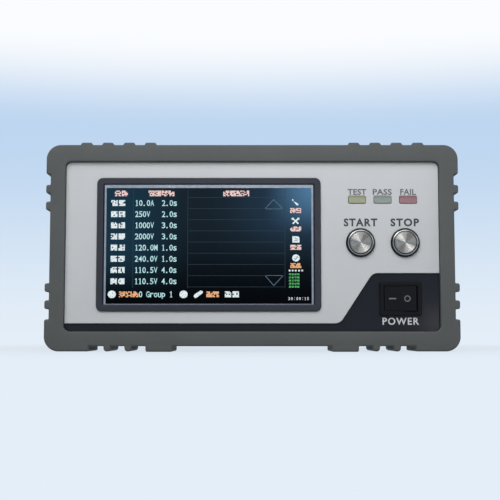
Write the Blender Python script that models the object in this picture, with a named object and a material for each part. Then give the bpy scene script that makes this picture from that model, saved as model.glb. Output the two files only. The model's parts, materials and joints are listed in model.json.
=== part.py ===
# Electrical safety tester: a bench instrument in a sheet-metal case, held
# between a front and a rear rubber bumper. Metres, +Z up, the front faces -Y.
# Origin: middle of the footprint, on the surface that the feet stand on.

import math

import bmesh
import bpy
from mathutils import Matrix, Vector

# Clearances, and how far a joined shape reaches into the other
GAP = 0.0003
RUNNING_GAP = 0.0005
JOIN = 0.0005

# Longest straight stretch of a rounded corner
ARC_STEP = 0.0025

# Overall depth and the two bumpers
DEPTH = 0.3700
BUMPER_WIDTH = 0.3044
BUMPER_HEIGHT = 0.1518
BUMPER_LENGTH = 0.0460
BUMPER_WALL = 0.0060
BUMPER_EDGE = 0.0012
BUMPER_CORNER_RADIUS = 0.0110
FRONT_LIP = 0.0042
REAR_LIP = 0.0130
LIP_SIDE = 0.0112
LIP_BOTTOM = 0.0109
LIP_TOP = 0.0127
OPENING_RADIUS = 0.0045
FOOT_HEIGHT = 0.0042

# Edges that follow from the bumpers
BODY_BOTTOM = FOOT_HEIGHT
BODY_TOP = FOOT_HEIGHT + BUMPER_HEIGHT
BODY_HALF = BUMPER_WIDTH / 2
CASE_HALF = BODY_HALF - BUMPER_WALL - GAP
CASE_BOTTOM = BODY_BOTTOM + BUMPER_WALL + GAP
CASE_TOP = BODY_TOP - BUMPER_WALL - GAP
OPENING_HALF = BODY_HALF - LIP_SIDE
OPENING_BOTTOM = BODY_BOTTOM + LIP_BOTTOM
OPENING_TOP = BODY_TOP - LIP_TOP

# Ribs, pads and feet moulded round the bumpers, placed from their outer faces
FOOT_WIDTH = 0.0201
FOOT_INNER_X = BODY_HALF - 0.0927
FOOT_ROUNDING = 0.0013
BOTTOM_RIB_WIDTH = 0.0053
BOTTOM_RIB_X = (BODY_HALF - 0.0596, BODY_HALF - 0.0440)
CORNER_PAD_X = BODY_HALF - 0.0303
SIDE_RIB_HEIGHT = 0.0033
SIDE_RIB_ROUNDING = 0.0016
SIDE_RIB_WIDTH = 0.0066
SIDE_RIB_Z = (BODY_BOTTOM + 0.0309, BODY_BOTTOM + 0.0437, BODY_TOP - 0.0465, BODY_TOP - 0.0338)
LOWER_PAD_TOP = BODY_BOTTOM + 0.0200
UPPER_PAD_BOTTOM = BODY_TOP - 0.0226
TOP_RIB_HEIGHT = 0.0018
TOP_RIB_BASE = 0.0094
TOP_RIB_CREST = 0.0071
TOP_RIB_COUNT = 4
TOP_RIB_PITCH = 0.0161
TOP_RIB_X = BODY_HALF - 0.0270

# Sheet-metal case
SHEET = 0.0012
CASE_RADIUS = 0.0030
CHASSIS_FLANGE_HEIGHT = 0.0200
CHASSIS_HALF = CASE_HALF - SHEET - GAP
FLOOR_TOP = CASE_BOTTOM + SHEET
VENT_COUNT = 10
VENT_PITCH = 0.0100
VENT_WIDTH = 0.0032
VENT_HEIGHT = 0.0260
VENT_ROWS_Z = (0.0620, 0.0960)

# Front panel and the light fascia plate on it, whose lower edge sweeps up to the right
PANEL_THICKNESS = 0.0035
PANEL_RIM = 0.0020
PANEL_RIM_DEPTH = 0.0080
FASCIA_THICKNESS = 0.0010
FASCIA_LOW_EDGE = OPENING_BOTTOM + 0.0061
FASCIA_HIGH_EDGE = OPENING_BOTTOM + 0.0438
SWEEP_FOOT_X = OPENING_HALF - 0.0751
SWEEP_HEAD_X = OPENING_HALF - 0.0504
SWEEP_RADIUS = 0.0073

# Planes from front to rear
FRONT_Y = -DEPTH / 2
REAR_Y = DEPTH / 2
PANEL_FRONT = FRONT_Y + FRONT_LIP + GAP
PANEL_BACK = PANEL_FRONT + PANEL_THICKNESS
FASCIA_BACK = PANEL_FRONT - GAP
FASCIA_FRONT = FASCIA_BACK - FASCIA_THICKNESS
REAR_PANEL_OUT = REAR_Y - REAR_LIP - GAP
REAR_PANEL_IN = REAR_PANEL_OUT - SHEET
SLEEVE_FRONT = PANEL_BACK + GAP
SLEEVE_REAR = REAR_PANEL_IN - GAP

# Display module: it fills the fascia but for its margins and the column of controls
DISPLAY_MARGIN = 0.0238
DISPLAY_LOW_MARGIN = 0.0149
DISPLAY_HIGH_MARGIN = 0.0122
CONTROL_COLUMN = 0.0892
BEZEL_WIDTH = 2 * OPENING_HALF - DISPLAY_MARGIN - CONTROL_COLUMN
BEZEL_HEIGHT = OPENING_TOP - OPENING_BOTTOM - DISPLAY_LOW_MARGIN - DISPLAY_HIGH_MARGIN
DISPLAY_X = DISPLAY_MARGIN + BEZEL_WIDTH / 2 - OPENING_HALF
DISPLAY_Z = OPENING_BOTTOM + DISPLAY_LOW_MARGIN + BEZEL_HEIGHT / 2
BEZEL_RADIUS = 0.0043
BEZEL_THICKNESS = 0.0012
BEZEL_WALL_WIDTH = 0.0049
BEZEL_SKIRT_STEP = 0.0022
BEZEL_SKIRT_WALL = 0.0016
BEZEL_SKIRT_DEPTH = 0.0098
BEZEL_CHAMFER = 0.0006
BEZEL_WINDOW_RADIUS = 0.0008
FRAME_THICKNESS = 0.0005
FRAME_REVEAL_SIDE = 0.0022
FRAME_REVEAL_LOW = 0.0008
FRAME_REVEAL_HIGH = 0.0028
FRAME_WINDOW_WIDTH = BEZEL_WIDTH - 2 * BEZEL_WALL_WIDTH - 2 * FRAME_REVEAL_SIDE
FRAME_WINDOW_HEIGHT = BEZEL_HEIGHT - 2 * BEZEL_WALL_WIDTH - FRAME_REVEAL_LOW - FRAME_REVEAL_HIGH
FRAME_WINDOW_Z = DISPLAY_Z + (FRAME_REVEAL_LOW - FRAME_REVEAL_HIGH) / 2
SCREEN_THICKNESS = 0.0035
BOARD_THICKNESS = 0.0016

# Indicator lamps
LAMP_PITCH = 0.0193
LAMP_X = tuple(OPENING_HALF - 0.0424 + place * LAMP_PITCH for place in (-1, 0, 1))
LAMP_Z = OPENING_TOP - 0.0288
LAMP_WIDTH = 0.0129
LAMP_HEIGHT = 0.0054
LAMP_PROUD = 0.0005
LAMP_CHAMFER = 0.0002
LAMP_FLANGE = 0.0015
LAMP_FLANGE_WIDTH = 0.0008
LAMP_LENGTH = 0.0078
LAMP_ROUNDING = 0.0006
LAMP_BOARD_HEIGHT = 0.0240
LAMP_BOARD_MARGIN = 0.0110
LAMP_LED_WIDTH = 0.0050
LAMP_LED_HEIGHT = 0.0030
BOARD_BOSS_RADIUS = 0.0028
BOARD_BOSS_OFFSET = 0.0080

# Power rocker switch
SWITCH_X = OPENING_HALF - 0.0297
SWITCH_Z = OPENING_BOTTOM + 0.0247
SWITCH_FLANGE_WIDTH = 0.0315
SWITCH_FLANGE_HEIGHT = 0.0258
SWITCH_FLANGE_THICKNESS = 0.0018
SWITCH_FLANGE_RADIUS = 0.0015
SWITCH_FLANGE_CHAMFER = 0.0005
SWITCH_BODY_RADIUS = 0.0010
SWITCH_BODY_WIDTH = 0.0272
SWITCH_BODY_HEIGHT = 0.0220
SWITCH_BODY_DEPTH = 0.0220
ROCKER_LENGTH = 0.0243
ROCKER_HEIGHT = 0.0185
ROCKER_HALF_ANGLE = math.radians(6.5)
ROCKER_ARC_START = math.radians(4.0)
ROCKER_ARC_END = math.radians(48.0)
ROCKER_PIVOT_DEPTH = 0.0017
ROCKER_CLEARANCE = 0.0004
ROCKER_WELL_RADIUS = 0.0004
ROCKER_PIN_RADIUS = 0.0012
ROCKER_PIN_LENGTH = 0.0010

# Start and stop push buttons, between the lamps and the switch
BUTTON_X = (OPENING_HALF - 0.0594, OPENING_HALF - 0.0258)
BUTTON_Z = (LAMP_Z + SWITCH_Z) / 2 + 0.0047
BUTTON_FLANGE_RADIUS = 0.0110
BUTTON_FLANGE_HEIGHT = 0.0024
BUTTON_FLANGE_CHAMFER = 0.0009
BUTTON_BARREL_RADIUS = 0.0095
BUTTON_BARREL_LENGTH = 0.0180
BUTTON_CAP_RADIUS = 0.00835
BUTTON_CAP_LENGTH = 0.0080
BUTTON_CAP_PROUD = 0.0003
BUTTON_CAP_CHAMFER = 0.0004
BUTTON_TRAVEL = 0.0025
BUTTON_STEM_RADIUS = 0.0045
BUTTON_NUT_FLATS = 0.0220
BUTTON_NUT_THICKNESS = 0.0030
CONTACT_BLOCK_LENGTH = 0.0120

# Connection tabs
TAB_THICKNESS = 0.0008
TAB_LENGTH = 0.0070
TAB_WIDTH = 0.0028
TAB_OFFSET = 0.0045

# Cooling fan in the rear panel
FAN_SIZE = 0.0800
FAN_RIM = 0.0025
FAN_X = 0.0639 - CASE_HALF
FAN_Z = CASE_TOP - 0.0597
FAN_DEPTH = 0.0250
FAN_BORE_RADIUS = FAN_SIZE / 2 - FAN_RIM
FAN_HOLE_SPACING = FAN_SIZE - 0.0085
FAN_HOLE_RADIUS = 0.0022
FAN_CORNER_RADIUS = 0.0040
FAN_HUB_RADIUS = 0.0160
FAN_HUB_RECESS = 0.0020
FAN_HUB_CHAMFER = 0.0010
FAN_SHAFT_RADIUS = 0.0020
FAN_SEAT_THICKNESS = 0.0040
FAN_STRUT_WIDTH = 0.0050
FAN_BLADES = 7
FAN_BLADE_ROOT_CHORD = 0.0156
FAN_BLADE_TIP_CHORD = 0.0196
FAN_BLADE_THICKNESS = 0.0016
FAN_BLADE_ROOT_PITCH = math.radians(52)
FAN_BLADE_TIP_PITCH = math.radians(32)
FAN_TIP_GAP = 0.0010
GUARD_THICKNESS = 0.0012
GUARD_MIDDLE_RADIUS = 0.0090
GUARD_SLOT = 0.0038
GUARD_BAR = 0.0022

# Mains inlet with its fuse drawer
INLET_X = CASE_HALF - 0.0339
INLET_Z = 0.0560
INLET_WIDTH = 0.0310
INLET_HEIGHT = 0.0580
INLET_DEPTH = 0.0280
INLET_MOUTH_WIDTH = 0.0246
INLET_MOUTH_HEIGHT = 0.0168
INLET_MOUTH_DEPTH = 0.0160
INLET_MOUTH_DROP = 0.0140
INLET_MOUTH_SLANT = 0.0050
INLET_MOUTH_RADIUS = 0.0020
INLET_SLANT_RADIUS = 0.0010
INLET_FLANGE_WIDTH = 0.0018
INLET_PINS = ((-0.0070, -0.0020), (0.0070, -0.0020), (0.0, 0.0020))
INLET_PIN_WIDTH = 0.0020
INLET_PIN_HEIGHT = 0.0040
INLET_PIN_RECESS = 0.0045
FLANGE_THICKNESS = 0.0020
FLANGE_RADIUS = 0.0030
FLANGE_CHAMFER = 0.0006
DRAWER_WIDTH = 0.0180
DRAWER_HEIGHT = 0.0080
DRAWER_LENGTH = 0.0260
DRAWER_RISE = 0.0150
DRAWER_FACE = 0.0015
DRAWER_OVERLAP = 0.0015
DRAWER_RADIUS = 0.0006
FUSE_RECESS = 0.0020
FUSE_X = 0.0043
FUSE_RADIUS = 0.0025
FUSE_LENGTH = 0.0200

# Output sockets
SOCKET_X = (0.0000, 0.0210, 0.0420)
SOCKET_ROWS_Z = (CASE_TOP - 0.0317, CASE_TOP - 0.0537)
SOCKET_RADIUS = 0.0058
SOCKET_FLANGE_RADIUS = 0.0075
SOCKET_BORE_RADIUS = 0.0040
SOCKET_BORE_DEPTH = 0.0150
SOCKET_PROUD = 0.0070
SOCKET_LENGTH = 0.0240
SOCKET_CONTACT_RADIUS = 0.0026
SOCKET_CONTACT_DEPTH = 0.0030
SOCKET_NUT_FLATS = 0.0140
SOCKET_NUT_THICKNESS = 0.0030
SOCKET_SIDES = 12

# Row of data ports and the earth terminal, one after another from the left
PORT_Z = 0.0320
PORT_GAP = 0.0095
PORT_PROUD = 0.0010
PORT_MARGIN = 0.0250
SERIAL_SHELL = 0.0170
HANDLER_SHELL = 0.0386
SHELL_HEIGHT = 0.0084
SHELL_PROUD = 0.0058
SHELL_LEAN = 0.0008
SHELL_ROUNDING = 0.0018
SHELL_WALL = 0.0005
D_FLANGE_EXTRA = 0.0145
D_FLANGE_HEIGHT = 0.0125
D_FLANGE_THICKNESS = 0.0010
D_BODY_DEPTH = 0.0090
USB_WIDTH = 0.0120
USB_HEIGHT = 0.0110
USB_DEPTH = 0.0150
USB_MOUTH_WIDTH = 0.0084
USB_MOUTH_HEIGHT = 0.0078
USB_MOUTH_DEPTH = 0.0090
USB_TONGUE = (0.0056, 0.0032)
LAN_WIDTH = 0.0160
LAN_HEIGHT = 0.0135
LAN_DEPTH = 0.0180
LAN_MOUTH_WIDTH = 0.0120
LAN_MOUTH_HEIGHT = 0.0070
LAN_MOUTH_DEPTH = 0.0120
LAN_LATCH_WIDTH = 0.0060
LAN_LATCH_HEIGHT = 0.0030
EARTH_RADIUS = 0.0030
EARTH_LENGTH = 0.0100
EARTH_CHAMFER = 0.0005
EARTH_REACH = 0.0080
EARTH_WASHER_RADIUS = 0.0065
EARTH_WASHER_THICKNESS = 0.0015
EARTH_NUT_FLATS = 0.0100
EARTH_NUT_THICKNESS = 0.0050
HANDLER_X = PORT_MARGIN + (HANDLER_SHELL + D_FLANGE_EXTRA) / 2 - CASE_HALF
SERIAL_X = HANDLER_X + (HANDLER_SHELL + SERIAL_SHELL) / 2 + D_FLANGE_EXTRA + PORT_GAP
USB_X = SERIAL_X + (SERIAL_SHELL + D_FLANGE_EXTRA + USB_WIDTH) / 2 + PORT_GAP
LAN_X = USB_X + (USB_WIDTH + LAN_WIDTH) / 2 + PORT_GAP
EARTH_X = LAN_X + LAN_WIDTH / 2 + EARTH_WASHER_RADIUS + PORT_GAP

# Boards, placed from the front
STANDOFF_HEIGHT = 0.0080
STANDOFF_RADIUS = 0.0030
BOARD_Z = FLOOR_TOP + STANDOFF_HEIGHT + GAP
BOARD_ROUNDING = 0.0030
MAIN_BOARD_WIDTH = 2 * CHASSIS_HALF - 0.0388
MAIN_BOARD_LENGTH = 0.0920
MAIN_BOARD_MARGIN = 0.0200
MAIN_BOARD_Y = SLEEVE_FRONT + MAIN_BOARD_MARGIN + MAIN_BOARD_LENGTH / 2
MAIN_BOARD_HOLE_INSET = 0.0080
MAIN_BOARD_HOLE_RADIUS = 0.0017
RELAY_COUNT = 6
RELAY_PITCH = 0.0170
RELAY_SIZE = (0.0127, 0.0290, 0.0155)
RELAY_Y = MAIN_BOARD_Y + 0.0300
CAPACITOR_COUNT = 3
CAPACITOR_PITCH = 0.0240
CAPACITOR_RADIUS = 0.0100
CAPACITOR_HEIGHT = 0.0280
CAPACITOR_X = 0.0300 - MAIN_BOARD_WIDTH / 2
CAPACITOR_Y = MAIN_BOARD_Y + 0.0320
CONTROL_BOARD_WIDTH = 0.1500
CONTROL_BOARD_LENGTH = 0.0600
CONTROL_BOARD_X = 0.0200 + (CONTROL_BOARD_WIDTH - MAIN_BOARD_WIDTH) / 2
CONTROL_BOARD_Y = MAIN_BOARD_Y - 0.0160
CONTROL_BOARD_Z = 0.0640
CONTROL_LEG_INSET = 0.0060
PROCESSOR_SIZE = (0.0280, 0.0280, 0.0018)
HEADER_SIZE = (0.0090, 0.0400, 0.0090)
HEADER_X = 0.0395

# Heat sink behind the main board
HEAT_SINK_WIDTH = 0.1100
HEAT_SINK_HEIGHT = 0.0420
HEAT_SINK_LENGTH = 0.0340
HEAT_SINK_MARGIN = 0.0040
HEAT_SINK_Y = MAIN_BOARD_Y + MAIN_BOARD_LENGTH / 2 + HEAT_SINK_MARGIN + HEAT_SINK_LENGTH / 2
HEAT_SINK_BASE = 0.0050
FIN_COUNT = 11
FIN_THICKNESS = 0.0020

# Transformers and power supply, placed from the rear and from the side walls
WALL_MARGIN = 0.0025
TOROID_RADIUS = 0.0480
TOROID_BORE = 0.0160
TOROID_HEIGHT = 0.0320
TOROID_ROUNDING = 0.0100
TOROID_X = WALL_MARGIN + TOROID_RADIUS + SHEET - CHASSIS_HALF
TOROID_Y = SLEEVE_REAR - TOROID_RADIUS - 0.0250
CLAMP_RADIUS = 0.0260
CLAMP_DISH = 0.0040
CLAMP_BOLT_RADIUS = 0.0040
CLAMP_HEAD_RADIUS = 0.0070
CLAMP_HEAD_HEIGHT = 0.0030
HV_CORE_SIZE = (0.0760, 0.0500, 0.0640)
HV_WINDING_SIZE = (0.0500, 0.0760, 0.0440)
HV_WINDING_ROUNDING = 0.0080
HV_TRANSFORMER_X = CHASSIS_HALF - SHEET - WALL_MARGIN - HV_CORE_SIZE[0] / 2
HV_TRANSFORMER_Y = SLEEVE_REAR - HV_WINDING_SIZE[1] / 2 - 0.0400
SUPPLY_SIZE = (0.0520, 0.0900, 0.0380)
SUPPLY_RADIUS = 0.0010
SUPPLY_X = (TOROID_X + TOROID_RADIUS + HV_TRANSFORMER_X - HV_CORE_SIZE[0] / 2) / 2
SUPPLY_Y = SLEEVE_REAR - SUPPLY_SIZE[1] / 2 - 0.0300
TERMINAL_WIDTH = 0.0416
TERMINAL_DEPTH = 0.0080
TERMINAL_LOW = 0.0040
TERMINAL_HIGH = 0.0160


# Outlines

def filleted(corners, steps=None):
    """Outline through corners (u, v, radius), each corner rounded by an arc."""
    points = []
    for index, (u, v, radius) in enumerate(corners):
        corner = Vector((u, v))
        if radius == 0:
            points.append((u, v))
            continue
        before = (Vector(corners[index - 1][:2]) - corner).normalized()
        after = (Vector(corners[(index + 1) % len(corners)][:2]) - corner).normalized()
        half_angle = before.angle(after) / 2
        centre = corner + (before + after).normalized() * radius / math.sin(half_angle)
        first = corner + before * radius / math.tan(half_angle) - centre
        last = corner + after * radius / math.tan(half_angle) - centre
        start = math.atan2(first.y, first.x)
        turn = (math.atan2(last.y, last.x) - start + math.pi) % (2 * math.pi) - math.pi
        arc_steps = steps or max(2, round(radius * abs(turn) / ARC_STEP))
        for step in range(arc_steps + 1):
            angle = start + turn * step / arc_steps
            points.append((centre.x + radius * math.cos(angle), centre.y + radius * math.sin(angle)))
    return points


def rectangle(centre_u, centre_v, width, height, radius=0.0, steps=None):
    """Rectangle outline, counter-clockwise, with rounded corners."""
    left, right = centre_u - width / 2, centre_u + width / 2
    low, high = centre_v - height / 2, centre_v + height / 2
    corners = ((left, low), (right, low), (right, high), (left, high))
    return filleted([(u, v, radius) for u, v in corners], steps)


def circle(centre_u, centre_v, radius, sides=24, turn=0.0):
    """Regular outline on a circle."""
    angles = [turn + 2 * math.pi * side / sides for side in range(sides)]
    return [(centre_u + radius * math.cos(a), centre_v + radius * math.sin(a)) for a in angles]


def inset(outline, distance):
    """A counter-clockwise outline moved inwards by a distance, mitred at its corners."""
    moved = []
    for index, point in enumerate(outline):
        here = Vector(point)
        arriving = (here - Vector(outline[index - 1])).normalized()
        leaving = (Vector(outline[(index + 1) % len(outline)]) - here).normalized()
        normal_in = Vector((-arriving.y, arriving.x))
        normal_out = Vector((-leaving.y, leaving.x))
        mitre = (normal_in + normal_out) / (1 + normal_in.dot(normal_out))
        moved.append(tuple(here + mitre * distance))
    return moved


# Solids

def ring_of(bm, outline, along, axis):
    """Vertices of an outline, placed at a distance along an axis."""
    if axis == "X":
        return [bm.verts.new((along, u, v)) for u, v in outline]
    if axis == "Y":
        return [bm.verts.new((u, along, v)) for u, v in outline]
    return [bm.verts.new((u, v, along)) for u, v in outline]


def skin(bm, rings):
    """Quads between neighbouring rings of vertices."""
    for near, far in zip(rings, rings[1:]):
        for index in range(len(near)):
            after = (index + 1) % len(near)
            bm.faces.new((near[index], near[after], far[after], far[index]))


def cap(bm, rings):
    """Flat faces inside the first ring and round the others."""
    edges = []
    for ring in rings:
        for index, vertex in enumerate(ring):
            edges.append(bm.edges.get((vertex, ring[index - 1])))
    bmesh.ops.triangle_fill(bm, use_beauty=True, edges=edges)


def extrude(bm, outer, holes=(), pockets=(), axis="Y"):
    """Solid skinned through sections (outline, distance along the axis).

    Holes run right through, from the first cap to the last; pockets start at
    the first cap and end on a floor of their own.
    """
    outer_rings = [ring_of(bm, outline, along, axis) for outline, along in outer]
    hole_rings = [[ring_of(bm, outline, along, axis) for outline, along in hole] for hole in holes]
    pocket_rings = [[ring_of(bm, outline, along, axis) for outline, along in pocket] for pocket in pockets]
    for rings in [outer_rings] + hole_rings + pocket_rings:
        skin(bm, rings)
    cap(bm, [outer_rings[0]] + [rings[0] for rings in hole_rings + pocket_rings])
    cap(bm, [outer_rings[-1]] + [rings[-1] for rings in hole_rings])
    for rings in pocket_rings:
        cap(bm, [rings[-1]])


def plate(bm, outline, start, end, holes=(), axis="Y"):
    """Flat plate between two planes, with holes of constant section."""
    sections = [(outline, start), (outline, end)]
    hole_sections = [[(hole, start), (hole, end)] for hole in holes]
    extrude(bm, sections, hole_sections, axis=axis)


def block(bm, low, high):
    """Rectangular block between two corners."""
    outline = [(low[0], low[1]), (high[0], low[1]), (high[0], high[1]), (low[0], high[1])]
    plate(bm, outline, low[2], high[2], axis="Z")


def turned(bm, profile, centre, axis="Y", sides=24):
    """Solid of revolution through profile points (radius, distance along the axis).

    A profile that starts and ends on the axis is closed by its poles; any
    other profile is a closed ring.
    """
    rings = []
    for radius, along in profile:
        if radius == 0:
            rings.append(ring_of(bm, [centre], along, axis) * sides)
        else:
            rings.append(ring_of(bm, circle(*centre, radius, sides), along, axis))
    if profile[0][0] != 0:
        rings.append(rings[0])
    for near, far in zip(rings, rings[1:]):
        for index in range(sides):
            after = (index + 1) % sides
            corners = []
            for vertex in (near[index], near[after], far[after], far[index]):
                if vertex not in corners:
                    corners.append(vertex)
            bm.faces.new(corners)


def rod(bm, centre, radius, start, end, axis="Y", sides=16):
    """Plain cylinder along an axis."""
    plate(bm, circle(*centre, radius, sides), start, end, axis=axis)


# Objects

MATERIALS = {
    "rubber": ((0.095, 0.098, 0.096), 0.75, 0.0),
    "dark_panel": ((0.018, 0.020, 0.027), 0.30, 0.0),
    "light_panel": ((0.52, 0.53, 0.55), 0.40, 0.0),
    "case_paint": ((0.50, 0.51, 0.52), 0.50, 0.0),
    "zinc_steel": ((0.55, 0.56, 0.57), 0.40, 1.0),
    "stainless": ((0.62, 0.61, 0.59), 0.22, 1.0),
    "black_plastic": ((0.012, 0.012, 0.014), 0.38, 0.0),
    "screen_glass": ((0.010, 0.016, 0.024), 0.12, 0.0),
    "lamp_yellow": ((0.33, 0.35, 0.22), 0.35, 0.0),
    "lamp_green": ((0.22, 0.29, 0.26), 0.35, 0.0),
    "lamp_red": ((0.34, 0.12, 0.15), 0.35, 0.0),
    "circuit_board": ((0.012, 0.090, 0.045), 0.45, 0.0),
    "copper_winding": ((0.42, 0.20, 0.06), 0.35, 0.2),
    "transformer_core": ((0.16, 0.16, 0.17), 0.50, 0.6),
    "aluminium": ((0.72, 0.73, 0.74), 0.35, 1.0),
    "brass": ((0.70, 0.52, 0.22), 0.30, 1.0),
    "red_plastic": ((0.45, 0.015, 0.012), 0.35, 0.0),
    "fuse_glass": ((0.75, 0.80, 0.80), 0.10, 0.0),
}


def material(slot):
    """Principled material of a finish, made once."""
    found = bpy.data.materials.get(slot)
    if found:
        return found
    colour, roughness, metallic = MATERIALS[slot]
    made = bpy.data.materials.new(slot)
    made.use_nodes = True
    shader = made.node_tree.nodes["Principled BSDF"]
    shader.inputs["Base Color"].default_value = (*colour, 1.0)
    shader.inputs["Roughness"].default_value = roughness
    shader.inputs["Metallic"].default_value = metallic
    return made


def piece(name, bm, slot, origin=(0.0, 0.0, 0.0)):
    """Object from a mesh in world coordinates, with its origin at a given point."""
    bmesh.ops.recalc_face_normals(bm, faces=bm.faces)
    bmesh.ops.translate(bm, verts=bm.verts, vec=-Vector(origin))
    mesh = bpy.data.meshes.new(name)
    bm.to_mesh(mesh)
    bm.free()
    mesh.materials.append(material(slot))
    mesh.shade_smooth()
    mesh.set_sharp_from_angle(angle=math.radians(35))
    made = bpy.data.objects.new(name, mesh)
    made.location = origin
    bpy.context.scene.collection.objects.link(made)
    return made


def combine(target, bm, operation, name):
    """Cut a shape from a piece, or join it on, with an exact Boolean."""
    tool = piece(name, bm, "black_plastic", origin=tuple(target.location))
    tool.hide_render = True
    tool.display_type = "WIRE"
    modifier = target.modifiers.new(name, "BOOLEAN")
    modifier.operation = operation
    modifier.object = tool
    modifier.solver = "EXACT"


# Bumpers

def bumper_outline():
    """Outline of a bumper with its feet, corner pads and ribs, from below the middle round to the top."""
    side_reach = BODY_HALF + SIDE_RIB_HEIGHT
    right = [(FOOT_INNER_X, BODY_BOTTOM, 0), (FOOT_INNER_X, 0, FOOT_ROUNDING),
             (FOOT_INNER_X + FOOT_WIDTH, 0, FOOT_ROUNDING), (FOOT_INNER_X + FOOT_WIDTH, BODY_BOTTOM, 0)]
    for x in BOTTOM_RIB_X:
        low_x, high_x = x - BOTTOM_RIB_WIDTH / 2, x + BOTTOM_RIB_WIDTH / 2
        rounding = BOTTOM_RIB_WIDTH * 0.45
        right += [(low_x, BODY_BOTTOM, 0), (low_x, GAP, rounding),
                  (high_x, GAP, rounding), (high_x, BODY_BOTTOM, 0)]
    right += [(CORNER_PAD_X, BODY_BOTTOM, 0), (CORNER_PAD_X, GAP, 0),
              (side_reach, GAP, BUMPER_CORNER_RADIUS),
              (side_reach, LOWER_PAD_TOP, SIDE_RIB_ROUNDING), (BODY_HALF, LOWER_PAD_TOP, 0)]
    for z in SIDE_RIB_Z:
        low_z, high_z = z - SIDE_RIB_WIDTH / 2, z + SIDE_RIB_WIDTH / 2
        right += [(BODY_HALF, low_z, 0), (side_reach, low_z, SIDE_RIB_ROUNDING),
                  (side_reach, high_z, SIDE_RIB_ROUNDING), (BODY_HALF, high_z, 0)]
    right += [(BODY_HALF, UPPER_PAD_BOTTOM, 0), (side_reach, UPPER_PAD_BOTTOM, SIDE_RIB_ROUNDING),
              (side_reach, BODY_TOP, BUMPER_CORNER_RADIUS)]
    crest = BODY_TOP + TOP_RIB_HEIGHT
    for rib in range(TOP_RIB_COUNT):
        x = TOP_RIB_X - rib * TOP_RIB_PITCH
        right += [(x + TOP_RIB_BASE / 2, BODY_TOP, 0), (x + TOP_RIB_CREST / 2, crest, 0),
                  (x - TOP_RIB_CREST / 2, crest, 0), (x - TOP_RIB_BASE / 2, BODY_TOP, 0)]
    left = [(-x, z, radius) for x, z, radius in reversed(right)]
    return filleted(right + left)


def opening_outline(margin):
    """Opening inside a bumper's lip, grown by a margin."""
    width = 2 * (OPENING_HALF + margin)
    height = OPENING_TOP - OPENING_BOTTOM + 2 * margin
    middle = (OPENING_TOP + OPENING_BOTTOM) / 2
    return rectangle(0, middle, width, height, OPENING_RADIUS + margin, steps=4)


def case_outline(margin=0.0):
    """Outside of the sheet-metal case, grown by a margin."""
    width = 2 * (CASE_HALF + margin)
    height = CASE_TOP - CASE_BOTTOM + 2 * margin
    return rectangle(0, (CASE_TOP + CASE_BOTTOM) / 2, width, height, CASE_RADIUS + margin, steps=4)


def bumper(name, end_y, inwards, lip):
    """Rubber ring round one end of the case: a ribbed sleeve with an inward lip."""
    outline = bumper_outline()
    back_y = end_y + inwards * BUMPER_LENGTH
    lip_y = end_y + inwards * lip
    bm = bmesh.new()
    outer = [(inset(outline, BUMPER_EDGE), end_y), (outline, end_y + inwards * BUMPER_EDGE),
             (outline, back_y)]
    cavity = case_outline(GAP)
    inner = [(opening_outline(BUMPER_EDGE / 2), end_y),
             (opening_outline(0), end_y + inwards * BUMPER_EDGE / 2), (opening_outline(0), lip_y),
             (cavity, lip_y), (cavity, back_y)]
    extrude(bm, outer, holes=[inner])
    piece(name, bm, "rubber")


# Case

def top_cover():
    """Roof and sides folded from one sheet, with two rows of slots in each side."""
    bm = bmesh.new()
    hem = CASE_BOTTOM + CASE_RADIUS
    bend = CASE_RADIUS
    fold = [(-CASE_HALF, hem, 0), (-CASE_HALF + SHEET, hem, 0),
            (-CASE_HALF + SHEET, CASE_TOP - SHEET, bend - SHEET),
            (CASE_HALF - SHEET, CASE_TOP - SHEET, bend - SHEET),
            (CASE_HALF - SHEET, hem, 0), (CASE_HALF, hem, 0),
            (CASE_HALF, CASE_TOP, bend), (-CASE_HALF, CASE_TOP, bend)]
    plate(bm, filleted(fold, steps=4), SLEEVE_FRONT, SLEEVE_REAR)
    cover = piece("top_cover", bm, "case_paint")
    slots = bmesh.new()
    first_y = -(VENT_COUNT - 1) * VENT_PITCH / 2
    for side in (-1, 1):
        inner, outer = side * (CASE_HALF - 2 * SHEET), side * (CASE_HALF + SHEET)
        for z in VENT_ROWS_Z:
            for index in range(VENT_COUNT):
                slot = rectangle(first_y + index * VENT_PITCH, z, VENT_WIDTH, VENT_HEIGHT)
                plate(slots, slot, inner, outer, axis="X")
    combine(cover, slots, "DIFFERENCE", "side_slots")


def bottom_chassis():
    """Floor tray with a low flange up each side, inside the cover."""
    bm = bmesh.new()
    top = CASE_BOTTOM + CHASSIS_FLANGE_HEIGHT
    bend = CASE_RADIUS
    fold = [(-CHASSIS_HALF, CASE_BOTTOM, bend), (CHASSIS_HALF, CASE_BOTTOM, bend),
            (CHASSIS_HALF, top, 0), (CHASSIS_HALF - SHEET, top, 0),
            (CHASSIS_HALF - SHEET, FLOOR_TOP, bend - SHEET), (-CHASSIS_HALF + SHEET, FLOOR_TOP, bend - SHEET),
            (-CHASSIS_HALF + SHEET, top, 0), (-CHASSIS_HALF, top, 0)]
    plate(bm, filleted(fold, steps=4), SLEEVE_FRONT, SLEEVE_REAR)
    tray = piece("bottom_chassis", bm, "zinc_steel")
    standoffs = bmesh.new()
    seat = FLOOR_TOP + STANDOFF_HEIGHT
    for place in board_corners():
        rod(standoffs, place, STANDOFF_RADIUS, FLOOR_TOP - JOIN, seat, axis="Z", sides=8)
    combine(tray, standoffs, "UNION", "standoffs")


# Front panel and fascia

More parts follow.
